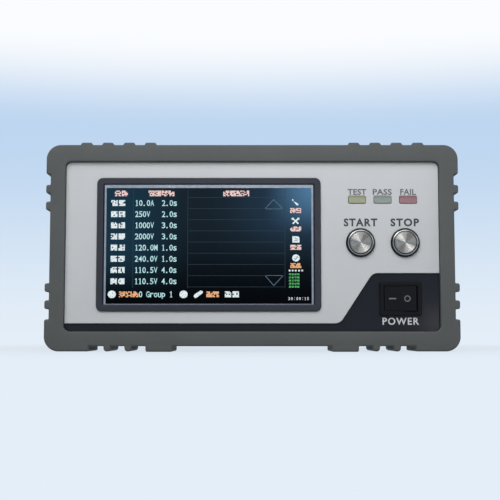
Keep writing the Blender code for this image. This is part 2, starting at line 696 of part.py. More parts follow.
def display_hole(margin):
    """Cut-out that the display bezel's skirt passes through."""
    width = BEZEL_WIDTH - 2 * BEZEL_SKIRT_STEP + 2 * margin
    height = BEZEL_HEIGHT - 2 * BEZEL_SKIRT_STEP + 2 * margin
    return rectangle(DISPLAY_X, DISPLAY_Z, width, height, BEZEL_RADIUS - BEZEL_SKIRT_STEP / 2, steps=4)


def lamp_outline(x, margin=0.0):
    """Window of one indicator lamp."""
    return rectangle(x, LAMP_Z, LAMP_WIDTH + 2 * margin, LAMP_HEIGHT + 2 * margin,
                     LAMP_ROUNDING + margin, steps=2)


def switch_outline(margin=0.0):
    """Body of the power switch, where it passes through the panel."""
    width = SWITCH_BODY_WIDTH + 2 * margin
    height = SWITCH_BODY_HEIGHT + 2 * margin
    return rectangle(SWITCH_X, SWITCH_Z, width, height, SWITCH_BODY_RADIUS, steps=4)


def control_holes(margin):
    """Holes that the fascia and the panel share: display, lamps and buttons."""
    holes = [display_hole(margin)]
    holes += [lamp_outline(x, margin) for x in LAMP_X]
    holes += [circle(x, BUTTON_Z, BUTTON_BARREL_RADIUS + margin) for x in BUTTON_X]
    return holes


def front_panel():
    """Dark moulded panel that closes the case's front, with a rim that enters the sleeve."""
    bm = bmesh.new()
    plate(bm, case_outline(), PANEL_FRONT, PANEL_BACK, control_holes(GAP) + [switch_outline(GAP)])
    panel = piece("front_panel", bm, "dark_panel")
    rim = bmesh.new()
    half = CHASSIS_HALF - SHEET - GAP
    low, high = FLOOR_TOP + GAP, CASE_TOP - SHEET - GAP
    outline = rectangle(0, (low + high) / 2, 2 * half, high - low, PANEL_RIM * 1.5, steps=4)
    plate(rim, outline, PANEL_BACK - JOIN, PANEL_BACK + PANEL_RIM_DEPTH, [inset(outline, PANEL_RIM)])
    boss_end = PANEL_BACK + LAMP_LENGTH - PANEL_THICKNESS - FASCIA_THICKNESS
    for x in ((LAMP_X[0] + LAMP_X[1]) / 2, (LAMP_X[1] + LAMP_X[2]) / 2):
        for z in (LAMP_Z - BOARD_BOSS_OFFSET, LAMP_Z + BOARD_BOSS_OFFSET):
            rod(rim, (x, z), BOARD_BOSS_RADIUS, PANEL_BACK - JOIN, boss_end, sides=8)
    combine(panel, rim, "UNION", "rim_and_bosses")


def fascia_plate():
    """Light plate over the panel, its lower edge stepping up in a sweep to the right."""
    half = OPENING_HALF - GAP
    top = OPENING_TOP - GAP
    corners = [(-half, FASCIA_LOW_EDGE, 0), (SWEEP_FOOT_X, FASCIA_LOW_EDGE, SWEEP_RADIUS),
               (SWEEP_HEAD_X, FASCIA_HIGH_EDGE, SWEEP_RADIUS), (half, FASCIA_HIGH_EDGE, 0),
               (half, top, OPENING_RADIUS - GAP), (-half, top, OPENING_RADIUS - GAP)]
    bm = bmesh.new()
    plate(bm, filleted(corners, steps=6), FASCIA_FRONT, FASCIA_BACK, control_holes(GAP))
    piece("fascia_plate", bm, "light_panel")


# Display

def display():
    """Bezel, metal frame, screen and driver board of the touch display."""
    flange_back = FASCIA_FRONT - GAP
    front = flange_back - BEZEL_THICKNESS
    skirt_back = flange_back + BEZEL_SKIRT_DEPTH
    outline = rectangle(DISPLAY_X, DISPLAY_Z, BEZEL_WIDTH, BEZEL_HEIGHT, BEZEL_RADIUS, steps=4)
    skirt = display_hole(0)
    window = rectangle(DISPLAY_X, DISPLAY_Z, BEZEL_WIDTH - 2 * BEZEL_WALL_WIDTH,
                       BEZEL_HEIGHT - 2 * BEZEL_WALL_WIDTH, BEZEL_WINDOW_RADIUS, steps=4)
    pocket_width = BEZEL_WIDTH - 2 * BEZEL_SKIRT_STEP - 2 * BEZEL_SKIRT_WALL
    pocket_height = BEZEL_HEIGHT - 2 * BEZEL_SKIRT_STEP - 2 * BEZEL_SKIRT_WALL
    pocket = rectangle(DISPLAY_X, DISPLAY_Z, pocket_width, pocket_height, BEZEL_WINDOW_RADIUS, steps=4)
    bm = bmesh.new()
    outer = [(inset(outline, BEZEL_CHAMFER), front), (outline, front + BEZEL_CHAMFER),
             (outline, flange_back), (skirt, flange_back), (skirt, skirt_back)]
    inner = [(inset(window, -BEZEL_CHAMFER / 2), front), (window, front + BEZEL_CHAMFER),
             (window, flange_back), (pocket, flange_back), (pocket, skirt_back)]
    extrude(bm, outer, holes=[inner])
    piece("display_bezel", bm, "black_plastic")

    inside = inset(pocket, GAP)
    frame_front = flange_back + GAP
    frame_back = frame_front + FRAME_THICKNESS
    bm = bmesh.new()
    glass_window = rectangle(DISPLAY_X, FRAME_WINDOW_Z, FRAME_WINDOW_WIDTH, FRAME_WINDOW_HEIGHT)
    plate(bm, inside, frame_front, frame_back, [glass_window])
    piece("display_frame", bm, "zinc_steel")

    bm = bmesh.new()
    plate(bm, inside, frame_back + GAP, frame_back + GAP + SCREEN_THICKNESS)
    piece("touch_screen", bm, "screen_glass")

    bm = bmesh.new()
    board_front = skirt_back + GAP
    plate(bm, skirt, board_front, board_front + BOARD_THICKNESS)
    piece("display_board", bm, "circuit_board")


# Indicator lamps

def lamps():
    """Three lenses that pass through fascia and panel, and the board with their light sources."""
    front = FASCIA_FRONT - LAMP_PROUD
    flange_front = PANEL_BACK + GAP
    flange_back = flange_front + LAMP_FLANGE
    for x, name, slot in zip(LAMP_X, ("test_lamp", "pass_lamp", "fail_lamp"),
                             ("lamp_yellow", "lamp_green", "lamp_red")):
        bm = bmesh.new()
        face = lamp_outline(x)
        flange = lamp_outline(x, margin=LAMP_FLANGE_WIDTH)
        outer = [(inset(face, LAMP_CHAMFER), front), (face, front + LAMP_CHAMFER), (face, flange_front),
                 (flange, flange_front), (flange, flange_back)]
        extrude(bm, outer)
        piece(name, bm, slot)

    board_front = PANEL_BACK + LAMP_LENGTH - PANEL_THICKNESS - FASCIA_THICKNESS + GAP
    bm = bmesh.new()
    width = LAMP_X[2] - LAMP_X[0] + 2 * LAMP_BOARD_MARGIN
    plate(bm, rectangle(LAMP_X[1], LAMP_Z, width, LAMP_BOARD_HEIGHT, LAMP_ROUNDING, steps=2),
          board_front, board_front + BOARD_THICKNESS)
    board = piece("lamp_board", bm, "circuit_board")
    leds = bmesh.new()
    for x in LAMP_X:
        led = rectangle(x, LAMP_Z, LAMP_LED_WIDTH, LAMP_LED_HEIGHT)
        plate(leds, led, flange_back + GAP, board_front + JOIN)
    combine(board, leds, "UNION", "lamp_leds")


# Push buttons

def push_button(name, x):
    """Metal push button: housing with barrel, sliding cap, nut and contact block."""
    centre = (x, BUTTON_Z)
    flange_back = FASCIA_FRONT - GAP
    front = flange_back - BUTTON_FLANGE_HEIGHT
    barrel_back = flange_back + BUTTON_BARREL_LENGTH
    bore = BUTTON_CAP_RADIUS + GAP
    bm = bmesh.new()
    bevel = GAP / 2
    profile = [(bore + bevel, front), (BUTTON_FLANGE_RADIUS - BUTTON_FLANGE_CHAMFER, front),
               (BUTTON_FLANGE_RADIUS, front + BUTTON_FLANGE_CHAMFER), (BUTTON_FLANGE_RADIUS, flange_back),
               (BUTTON_BARREL_RADIUS, flange_back), (BUTTON_BARREL_RADIUS, barrel_back),
               (bore, barrel_back), (bore, front + bevel)]
    turned(bm, profile, centre)
    piece(name + "_button_housing", bm, "stainless")

    cap_front = front - BUTTON_CAP_PROUD
    cap_back = cap_front + BUTTON_CAP_LENGTH
    block_front = barrel_back + GAP
    stem_back = block_front - GAP - BUTTON_TRAVEL
    bm = bmesh.new()
    profile = [(0, cap_front), (BUTTON_CAP_RADIUS - BUTTON_CAP_CHAMFER, cap_front),
               (BUTTON_CAP_RADIUS, cap_front + BUTTON_CAP_CHAMFER), (BUTTON_CAP_RADIUS, cap_back),
               (BUTTON_STEM_RADIUS, cap_back), (BUTTON_STEM_RADIUS, stem_back), (0, stem_back)]
    turned(bm, profile, centre)
    piece(name + "_button_cap", bm, "stainless", origin=(x, cap_front, BUTTON_Z))

    nut_front = PANEL_BACK + GAP
    bm = bmesh.new()
    hexagon = circle(*centre, BUTTON_NUT_FLATS / math.sqrt(3), sides=6)
    plate(bm, hexagon, nut_front, nut_front + BUTTON_NUT_THICKNESS,
          [circle(*centre, BUTTON_BARREL_RADIUS + GAP)])
    piece(name + "_button_nut", bm, "brass")

    bm = bmesh.new()
    block_back = block_front + CONTACT_BLOCK_LENGTH
    rod(bm, centre, BUTTON_BARREL_RADIUS, block_front, block_back, sides=12)
    contacts = piece(name + "_button_contacts", bm, "black_plastic")
    tabs = bmesh.new()
    for offset in (-TAB_OFFSET, TAB_OFFSET):
        tab = rectangle(x + offset, BUTTON_Z, TAB_THICKNESS, TAB_WIDTH)
        plate(tabs, tab, block_back - JOIN, block_back + TAB_LENGTH)
    combine(contacts, tabs, "UNION", name + "_tabs")


# Power switch

def power_switch():
    """Rocker switch: a framed body with a well, and a rocker on two pins."""
    flange_back = PANEL_FRONT - GAP
    front = flange_back - SWITCH_FLANGE_THICKNESS
    body_back = flange_back + SWITCH_BODY_DEPTH
    pivot_y = front + GAP + ROCKER_PIVOT_DEPTH
    arc_radius = ROCKER_LENGTH / 2
    well_back = pivot_y + arc_radius * math.sin(ROCKER_ARC_END + ROCKER_HALF_ANGLE) + RUNNING_GAP
    flange = rectangle(SWITCH_X, SWITCH_Z, SWITCH_FLANGE_WIDTH, SWITCH_FLANGE_HEIGHT,
                       SWITCH_FLANGE_RADIUS, steps=4)
    well = rectangle(SWITCH_X, SWITCH_Z, ROCKER_LENGTH + 2 * ROCKER_CLEARANCE, ROCKER_HEIGHT + 2 * GAP,
                     ROCKER_WELL_RADIUS, steps=2)
    bm = bmesh.new()
    outer = [(inset(flange, SWITCH_FLANGE_CHAMFER), front), (flange, front + SWITCH_FLANGE_CHAMFER),
             (flange, flange_back),
             (switch_outline(), flange_back), (switch_outline(), body_back)]
    extrude(bm, outer, pockets=[[(well, front), (well, well_back)]])
    frame = piece("power_switch_body", bm, "black_plastic")
    holes = bmesh.new()
    hole = circle(SWITCH_X, pivot_y, ROCKER_PIN_RADIUS + GAP, sides=12)
    for side in (-1, 1):
        near = SWITCH_Z + side * ROCKER_HEIGHT / 2
        plate(holes, hole, near, near + side * (ROCKER_PIN_LENGTH + GAP), axis="Z")
    combine(frame, holes, "DIFFERENCE", "pivot_holes")

    bm = bmesh.new()
    half = arc_radius - GAP
    raised = -ROCKER_PIVOT_DEPTH - half * math.tan(ROCKER_HALF_ANGLE)
    outline = [(0, -ROCKER_PIVOT_DEPTH), (half, raised)]
    for step in range(5):
        angle = ROCKER_ARC_START + (ROCKER_ARC_END - ROCKER_ARC_START) * step / 4
        outline.append((arc_radius * math.cos(angle), arc_radius * math.sin(angle)))
    outline += [(-u, v) for u, v in reversed(outline[1:])]
    tilt = Matrix.Rotation(-ROCKER_HALF_ANGLE, 2)
    tilted = [tilt @ Vector(point) for point in outline]
    placed = [(SWITCH_X + point.x, pivot_y + point.y) for point in tilted]
    low, high = SWITCH_Z - ROCKER_HEIGHT / 2, SWITCH_Z + ROCKER_HEIGHT / 2
    plate(bm, placed, low, high, axis="Z")
    rocker = piece("power_rocker", bm, "black_plastic", origin=(SWITCH_X, pivot_y, SWITCH_Z))
    pins = bmesh.new()
    rod(pins, (SWITCH_X, pivot_y), ROCKER_PIN_RADIUS,
        low - ROCKER_PIN_LENGTH, high + ROCKER_PIN_LENGTH, axis="Z", sides=12)
    combine(rocker, pins, "UNION", "pivot_pins")


# Rear panel

def fan_corners():
    """Four fixing points round the fan."""
    half = FAN_HOLE_SPACING / 2
    return [(FAN_X + side * half, FAN_Z + rise * half) for side in (-1, 1) for rise in (-1, 1)]


def inlet_body(margin=0.0):
    """Body of the mains inlet, where it passes through the rear panel."""
    width, height = INLET_WIDTH - 2 * INLET_FLANGE_WIDTH, INLET_HEIGHT - 2 * INLET_FLANGE_WIDTH
    return rectangle(INLET_X, INLET_Z, width + 2 * margin, height + 2 * margin, INLET_SLANT_RADIUS, steps=3)


def d_body(x, shell_width, margin=0.0):
    """Body of a D-shaped connector, where it passes through the rear panel."""
    width, height = shell_width + 2 * SHELL_WALL, SHELL_HEIGHT + 2 * SHELL_WALL
    return rectangle(x, PORT_Z, width + 2 * margin, height + 2 * margin, SHELL_ROUNDING, steps=2)


def usb_outline(margin=0.0):
    """Outside of the USB socket."""
    return rectangle(USB_X, PORT_Z, USB_WIDTH + 2 * margin, USB_HEIGHT + 2 * margin)


def lan_outline(margin=0.0):
    """Outside of the network socket."""
    return rectangle(LAN_X, PORT_Z, LAN_WIDTH + 2 * margin, LAN_HEIGHT + 2 * margin)


def rear_panel():
    """Flat sheet that closes the case's rear, pierced for the fan and the connectors."""
    holes = [circle(FAN_X, FAN_Z, FAN_BORE_RADIUS, sides=24)]
    holes += [circle(x, z, FAN_HOLE_RADIUS, sides=8) for x, z in fan_corners()]
    holes += [circle(x, z, SOCKET_RADIUS + GAP, sides=SOCKET_SIDES) for z in SOCKET_ROWS_Z for x in SOCKET_X]
    holes += [inlet_body(GAP), d_body(SERIAL_X, SERIAL_SHELL, GAP), d_body(HANDLER_X, HANDLER_SHELL, GAP)]
    holes += [usb_outline(GAP), lan_outline(GAP), circle(EARTH_X, PORT_Z, EARTH_RADIUS + GAP, sides=12)]
    bm = bmesh.new()
    plate(bm, case_outline(), REAR_PANEL_IN, REAR_PANEL_OUT, holes)
    piece("rear_panel", bm, "case_paint")


def fan_guard():
    """Stamped finger guard: rings of curved slots parted by four straight bars."""
    slots = []
    inner = GUARD_MIDDLE_RADIUS
    while inner + GUARD_SLOT < FAN_BORE_RADIUS:
        outer = inner + GUARD_SLOT
        steps = 2 if inner < FAN_BORE_RADIUS / 2 else 3
        for quarter in range(4):
            slot = []
            for radius, order in ((outer, range(steps + 1)), (inner, range(steps, -1, -1))):
                margin = math.asin(GUARD_BAR / radius)
                sweep = math.pi / 2 - 2 * margin
                for step in order:
                    angle = quarter * math.pi / 2 + margin + sweep * step / steps + math.pi / 4
                    slot.append((FAN_X + radius * math.cos(angle), FAN_Z + radius * math.sin(angle)))
            slots.append(slot)
        inner = outer + GUARD_BAR
    holes = slots + [circle(x, z, FAN_HOLE_RADIUS, sides=8) for x, z in fan_corners()]
    bm = bmesh.new()
    outline = rectangle(FAN_X, FAN_Z, FAN_SIZE, FAN_SIZE, FAN_CORNER_RADIUS, steps=3)
    plate(bm, outline, REAR_PANEL_OUT + GAP, REAR_PANEL_OUT + GAP + GUARD_THICKNESS, holes)
    piece("fan_guard", bm, "zinc_steel")


def fan():
    """Axial fan: a frame with three struts and a shaft, and a bladed rotor on it."""
    rear = REAR_PANEL_IN - GAP
    front = rear - FAN_DEPTH
    seat_back = front + FAN_SEAT_THICKNESS
    hub_back = rear - FAN_HUB_RECESS
    shaft_back = hub_back - FAN_SEAT_THICKNESS
    bm = bmesh.new()
    outline = rectangle(FAN_X, FAN_Z, FAN_SIZE, FAN_SIZE, FAN_CORNER_RADIUS, steps=3)
    holes = [circle(FAN_X, FAN_Z, FAN_BORE_RADIUS, sides=24)]
    holes += [circle(x, z, FAN_HOLE_RADIUS, sides=8) for x, z in fan_corners()]
    plate(bm, outline, front, rear, holes)
    frame = piece("fan_frame", bm, "black_plastic")
    seat = bmesh.new()
    profile = [(0, front), (FAN_HUB_RADIUS, front), (FAN_HUB_RADIUS, seat_back),
               (FAN_SHAFT_RADIUS, seat_back), (FAN_SHAFT_RADIUS, shaft_back), (0, shaft_back)]
    turned(seat, profile, (FAN_X, FAN_Z), sides=24)
    combine(frame, seat, "UNION", "fan_seat")
    struts = bmesh.new()
    for third in range(3):
        angle = math.pi / 2 + third * 2 * math.pi / 3
        along = Vector((math.cos(angle), math.sin(angle)))
        across = Vector((-along.y, along.x)) * FAN_STRUT_WIDTH / 2
        centre = Vector((FAN_X, FAN_Z))
        near, far = centre + along * (FAN_HUB_RADIUS - JOIN), centre + along * (FAN_BORE_RADIUS + JOIN)
        strut = [tuple(near - across), tuple(far - across), tuple(far + across), tuple(near + across)]
        plate(struts, strut, front + JOIN, seat_back - JOIN)
    combine(frame, struts, "UNION", "fan_struts")

    hub_front = seat_back + RUNNING_GAP
    bore = FAN_SHAFT_RADIUS + GAP
    bm = bmesh.new()
    profile = [(0, hub_back), (FAN_HUB_RADIUS - FAN_HUB_CHAMFER, hub_back),
               (FAN_HUB_RADIUS, hub_back - FAN_HUB_CHAMFER), (FAN_HUB_RADIUS, hub_front), (bore, hub_front),
               (bore, shaft_back + GAP), (0, shaft_back + GAP)]
    turned(bm, profile, (FAN_X, FAN_Z), sides=24)
    rotor = piece("fan_rotor", bm, "black_plastic", origin=(FAN_X, hub_back, FAN_Z))
    blades = bmesh.new()
    middle = (hub_front + hub_back) / 2
    for blade in range(FAN_BLADES):
        turn = 2 * math.pi * blade / FAN_BLADES
        sections = ((FAN_HUB_RADIUS - 2 * JOIN, FAN_BLADE_ROOT_CHORD / 2, FAN_BLADE_ROOT_PITCH),
                    (FAN_BORE_RADIUS - FAN_TIP_GAP, FAN_BLADE_TIP_CHORD / 2, FAN_BLADE_TIP_PITCH))
        half_thick = FAN_BLADE_THICKNESS / 2
        rings = []
        for radius, half_chord, pitch in sections:
            ring = []
            for chord, thick in ((-half_chord, 0), (0, -half_thick), (half_chord, 0), (0, half_thick)):
                sideways = chord * math.cos(pitch) - thick * math.sin(pitch)
                axial = chord * math.sin(pitch) + thick * math.cos(pitch)
                angle = turn + sideways / radius
                ring.append(blades.verts.new((FAN_X + radius * math.cos(angle), middle + axial,
                                              FAN_Z + radius * math.sin(angle))))
            rings.append(ring)
        skin(blades, rings)
        for ring in rings:
            blades.faces.new(ring)
    combine(rotor, blades, "UNION", "fan_blades")


def mains_inlet():
    """Appliance inlet with three pins over a well, and a drawer with two fuses above it."""
    flange_back = REAR_PANEL_OUT + GAP
    face = flange_back + FLANGE_THICKNESS
    body_end = flange_back - INLET_DEPTH
    mouth_z = INLET_Z - INLET_MOUTH_DROP
    drawer_z = INLET_Z + DRAWER_RISE
    left, right = INLET_X - INLET_MOUTH_WIDTH / 2, INLET_X + INLET_MOUTH_WIDTH / 2
    low, high = mouth_z - INLET_MOUTH_HEIGHT / 2, mouth_z + INLET_MOUTH_HEIGHT / 2
    slant = INLET_MOUTH_SLANT
    low_corners = [(u, low, INLET_MOUTH_RADIUS) for u in (left, right)]
    slant_corners = [(right, high - slant), (right - slant, high), (left + slant, high), (left, high - slant)]
    mouth = filleted(low_corners + [(u, v, INLET_SLANT_RADIUS) for u, v in slant_corners], steps=2)
    slot = rectangle(INLET_X, drawer_z, DRAWER_WIDTH + 2 * GAP, DRAWER_HEIGHT + 2 * GAP)
    flange = rectangle(INLET_X, INLET_Z, INLET_WIDTH, INLET_HEIGHT, FLANGE_RADIUS, steps=3)
    bm = bmesh.new()
    outer = [(inset(flange, FLANGE_CHAMFER), face), (flange, face - FLANGE_CHAMFER), (flange, flange_back),
             (inlet_body(), flange_back), (inlet_body(), body_end)]
    mouth_floor = face - INLET_MOUTH_DEPTH
    slot_floor = face - DRAWER_LENGTH - GAP
    extrude(bm, outer, pockets=[[(mouth, face), (mouth, mouth_floor)], [(slot, face), (slot, slot_floor)]])
    housing = piece("inlet_housing", bm, "black_plastic")
    pins = bmesh.new()
    for x, z in INLET_PINS:
        pin = rectangle(INLET_X + x, mouth_z + z, INLET_PIN_WIDTH, INLET_PIN_HEIGHT)
        plate(pins, pin, mouth_floor - JOIN, face - INLET_PIN_RECESS)
        tab = rectangle(INLET_X + x, mouth_z + z, TAB_THICKNESS, INLET_PIN_HEIGHT)
        plate(pins, tab, body_end - TAB_LENGTH, body_end + JOIN)
    combine(housing, pins, "UNION", "inlet_pins")

    bm = bmesh.new()
    face_plate = rectangle(INLET_X, drawer_z, DRAWER_WIDTH + 2 * DRAWER_OVERLAP,
                           DRAWER_HEIGHT + 2 * DRAWER_OVERLAP, DRAWER_RADIUS, steps=2)
    drawer_body = rectangle(INLET_X, drawer_z, DRAWER_WIDTH, DRAWER_HEIGHT, DRAWER_RADIUS, steps=2)
    outer = [(face_plate, face + GAP + DRAWER_FACE), (face_plate, face + GAP),
             (drawer_body, face + GAP), (drawer_body, face - DRAWER_LENGTH + GAP)]
    extrude(bm, outer)
    drawer = piece("fuse_drawer", bm, "black_plastic", origin=(INLET_X, face, drawer_z))
    troughs = bmesh.new()
    fuse_back = face - FUSE_RECESS
    fuse_front = fuse_back - FUSE_LENGTH
    for x in (-FUSE_X, FUSE_X):
        reach = FUSE_RADIUS + GAP
        block(troughs, (INLET_X + x - reach, fuse_front - GAP, drawer_z - reach),
              (INLET_X + x + reach, fuse_back + GAP, drawer_z + DRAWER_HEIGHT))
    combine(drawer, troughs, "DIFFERENCE", "fuse_troughs")
    for x, name in ((-FUSE_X, "fuse_live"), (FUSE_X, "fuse_neutral")):
        bm = bmesh.new()
        rod(bm, (INLET_X + x, drawer_z), FUSE_RADIUS, fuse_front, fuse_back, sides=12)
        piece(name, bm, "fuse_glass")


def output_sockets():
    """Six shrouded test sockets with their nuts, in two rows."""
    names = ("high", "return", "bond_drive", "bond_sense", "live", "neutral")
    flange_back = REAR_PANEL_OUT + GAP
    tip = flange_back + SOCKET_PROUD
    back = tip - SOCKET_LENGTH
    recess = tip - SOCKET_BORE_DEPTH
    places = [(x, z) for z in SOCKET_ROWS_Z for x in SOCKET_X]
    for name, centre in zip(names, places):
        slot = "red_plastic" if name in ("high", "bond_drive", "live") else "black_plastic"
        profile = [(0, tip - SOCKET_CONTACT_DEPTH), (SOCKET_CONTACT_RADIUS, tip - SOCKET_CONTACT_DEPTH),
                   (SOCKET_CONTACT_RADIUS, recess), (SOCKET_BORE_RADIUS, recess), (SOCKET_BORE_RADIUS, tip),
                   (SOCKET_FLANGE_RADIUS, tip), (SOCKET_FLANGE_RADIUS, flange_back),
                   (SOCKET_RADIUS, flange_back), (SOCKET_RADIUS, back), (0, back)]
        bm = bmesh.new()
        turned(bm, profile, centre, sides=SOCKET_SIDES)
        piece(name + "_socket", bm, slot)
        nut_back = REAR_PANEL_IN - GAP
        bm = bmesh.new()
        hexagon = circle(*centre, SOCKET_NUT_FLATS / math.sqrt(3), sides=6)
        bore = circle(*centre, SOCKET_RADIUS + GAP, sides=SOCKET_SIDES)
        plate(bm, hexagon, nut_back - SOCKET_NUT_THICKNESS, nut_back, [bore])
        piece(name + "_socket_nut", bm, "brass")


def d_port(name, x, shell_width):
    """D-shaped connector: flange, shell and body."""
    flange_back = REAR_PANEL_OUT + GAP
    flange_front = flange_back + D_FLANGE_THICKNESS
    half = shell_width / 2
    low, high = PORT_Z - SHELL_HEIGHT / 2, PORT_Z + SHELL_HEIGHT / 2
    corners = [(x - half + SHELL_LEAN, low), (x + half - SHELL_LEAN, low), (x + half, high), (x - half, high)]
    shell = filleted([(u, v, SHELL_ROUNDING) for u, v in corners], steps=2)
    flange = rectangle(x, PORT_Z, shell_width + D_FLANGE_EXTRA, D_FLANGE_HEIGHT, SHELL_ROUNDING, steps=2)
    bm = bmesh.new()
    extrude(bm, [(shell, flange_front + SHELL_PROUD), (shell, flange_front), (flange, flange_front),
                 (flange, flange_back), (d_body(x, shell_width), flange_back),
                 (d_body(x, shell_width), REAR_PANEL_IN - D_BODY_DEPTH)])
    piece(name, bm, "zinc_steel")


def data_ports():
    """Serial and handler connectors, USB and network sockets."""
    d_port("serial_port", SERIAL_X, SERIAL_SHELL)
    d_port("handler_port", HANDLER_X, HANDLER_SHELL)
    face = REAR_PANEL_OUT + PORT_PROUD
    half, low, high = USB_MOUTH_WIDTH / 2, PORT_Z - USB_MOUTH_HEIGHT / 2, PORT_Z + USB_MOUTH_HEIGHT / 2
    slant = USB_MOUTH_WIDTH / 5
    mouth = [(USB_X - half, low), (USB_X + half, low), (USB_X + half, high - slant),
             (USB_X + half - slant, high), (USB_X - half + slant, high), (USB_X - half, high - slant)]
    mouth_floor = face - USB_MOUTH_DEPTH
    bm = bmesh.new()
    extrude(bm, [(usb_outline(), face), (usb_outline(), REAR_PANEL_IN - USB_DEPTH)],
            pockets=[[(mouth, face), (mouth, mouth_floor)]])
    port = piece("usb_port", bm, "zinc_steel")
    tongue = bmesh.new()
    plate(tongue, rectangle(USB_X, PORT_Z, *USB_TONGUE), mouth_floor - JOIN, face - PORT_PROUD)
    combine(port, tongue, "UNION", "usb_tongue")

    half, latch = LAN_MOUTH_WIDTH / 2, LAN_LATCH_WIDTH / 2
    low = PORT_Z - (LAN_MOUTH_HEIGHT + LAN_LATCH_HEIGHT) / 2
    step = low + LAN_MOUTH_HEIGHT
    high = step + LAN_LATCH_HEIGHT
    mouth = [(LAN_X - half, low), (LAN_X + half, low), (LAN_X + half, step), (LAN_X + latch, step),
             (LAN_X + latch, high), (LAN_X - latch, high), (LAN_X - latch, step), (LAN_X - half, step)]
    bm = bmesh.new()
    extrude(bm, [(lan_outline(), face), (lan_outline(), REAR_PANEL_IN - LAN_DEPTH)],
            pockets=[[(mouth, face), (mouth, face - LAN_MOUTH_DEPTH)]])
    piece("lan_port", bm, "zinc_steel")


def earth_terminal():
    """Threaded earth stud through the panel, with its nut."""
    centre = (EARTH_X, PORT_Z)
    washer_back = REAR_PANEL_OUT + GAP
    washer_front = washer_back + EARTH_WASHER_THICKNESS
    stud_end = REAR_PANEL_IN - EARTH_REACH
    tip = washer_front + EARTH_LENGTH
    bm = bmesh.new()
    profile = [(0, tip), (EARTH_RADIUS - EARTH_CHAMFER, tip), (EARTH_RADIUS, tip - EARTH_CHAMFER),
               (EARTH_RADIUS, washer_front), (EARTH_WASHER_RADIUS, washer_front),
               (EARTH_WASHER_RADIUS, washer_back), (EARTH_RADIUS, washer_back),
               (EARTH_RADIUS, stud_end), (0, stud_end)]
    turned(bm, profile, centre, sides=16)
    piece("earth_stud", bm, "brass")
    bm = bmesh.new()
    hexagon = circle(*centre, EARTH_NUT_FLATS / math.sqrt(3), sides=6)
    nut_back = washer_front + GAP
    bore = circle(*centre, EARTH_RADIUS + GAP, sides=16)
    plate(bm, hexagon, nut_back, nut_back + EARTH_NUT_THICKNESS, [bore])
    piece("earth_nut", bm, "zinc_steel")


# Inner assemblies

def board_corners():
    """Four fixing points of the main board."""
    half_x = MAIN_BOARD_WIDTH / 2 - MAIN_BOARD_HOLE_INSET
    half_y = MAIN_BOARD_LENGTH / 2 - MAIN_BOARD_HOLE_INSET
    return [(side * half_x, MAIN_BOARD_Y + rise * half_y) for side in (-1, 1) for rise in (-1, 1)]


def boards():
    """Main board with relays and capacitors, and the control board on legs above it."""
    top = BOARD_Z + BOARD_THICKNESS
    bm = bmesh.new()
    holes = [circle(x, y, MAIN_BOARD_HOLE_RADIUS, sides=8) for x, y in board_corners()]
    outline = rectangle(0, MAIN_BOARD_Y, MAIN_BOARD_WIDTH, MAIN_BOARD_LENGTH, BOARD_ROUNDING, steps=3)
    plate(bm, outline, BOARD_Z, top, holes, axis="Z")
    board = piece("main_board", bm, "circuit_board")
    parts = bmesh.new()
    width, length, height = RELAY_SIZE
    for index in range(RELAY_COUNT):
        x = index * RELAY_PITCH
        block(parts, (x - width / 2, RELAY_Y - length / 2, top - JOIN),
              (x + width / 2, RELAY_Y + length / 2, top + height))
    for index in range(CAPACITOR_COUNT):
        place = (CAPACITOR_X + index * CAPACITOR_PITCH, CAPACITOR_Y)
        rod(parts, place, CAPACITOR_RADIUS, top - JOIN, top + CAPACITOR_HEIGHT, axis="Z", sides=12)
    combine(board, parts, "UNION", "main_board_parts")

    bm = bmesh.new()
    control_top = CONTROL_BOARD_Z + BOARD_THICKNESS
    outline = rectangle(CONTROL_BOARD_X, CONTROL_BOARD_Y, CONTROL_BOARD_WIDTH, CONTROL_BOARD_LENGTH,
                        BOARD_ROUNDING, steps=3)
    plate(bm, outline, CONTROL_BOARD_Z, control_top, axis="Z")
    board = piece("control_board", bm, "circuit_board")
    parts = bmesh.new()
    leg_x = CONTROL_BOARD_WIDTH / 2 - CONTROL_LEG_INSET
    leg_y = CONTROL_BOARD_LENGTH / 2 - CONTROL_LEG_INSET
    for side in (-1, 1):
        for rise in (-1, 1):
            place = (CONTROL_BOARD_X + side * leg_x, CONTROL_BOARD_Y + rise * leg_y)
            rod(parts, place, STANDOFF_RADIUS, top + GAP, CONTROL_BOARD_Z + JOIN, axis="Z", sides=8)
    for x, (width, length, height) in ((CONTROL_BOARD_X, PROCESSOR_SIZE),
                                       (CONTROL_BOARD_X + HEADER_X, HEADER_SIZE)):
        block(parts, (x - width / 2, CONTROL_BOARD_Y - length / 2, control_top - JOIN),
              (x + width / 2, CONTROL_BOARD_Y + length / 2, control_top + height))
    combine(board, parts, "UNION", "control_board_parts")


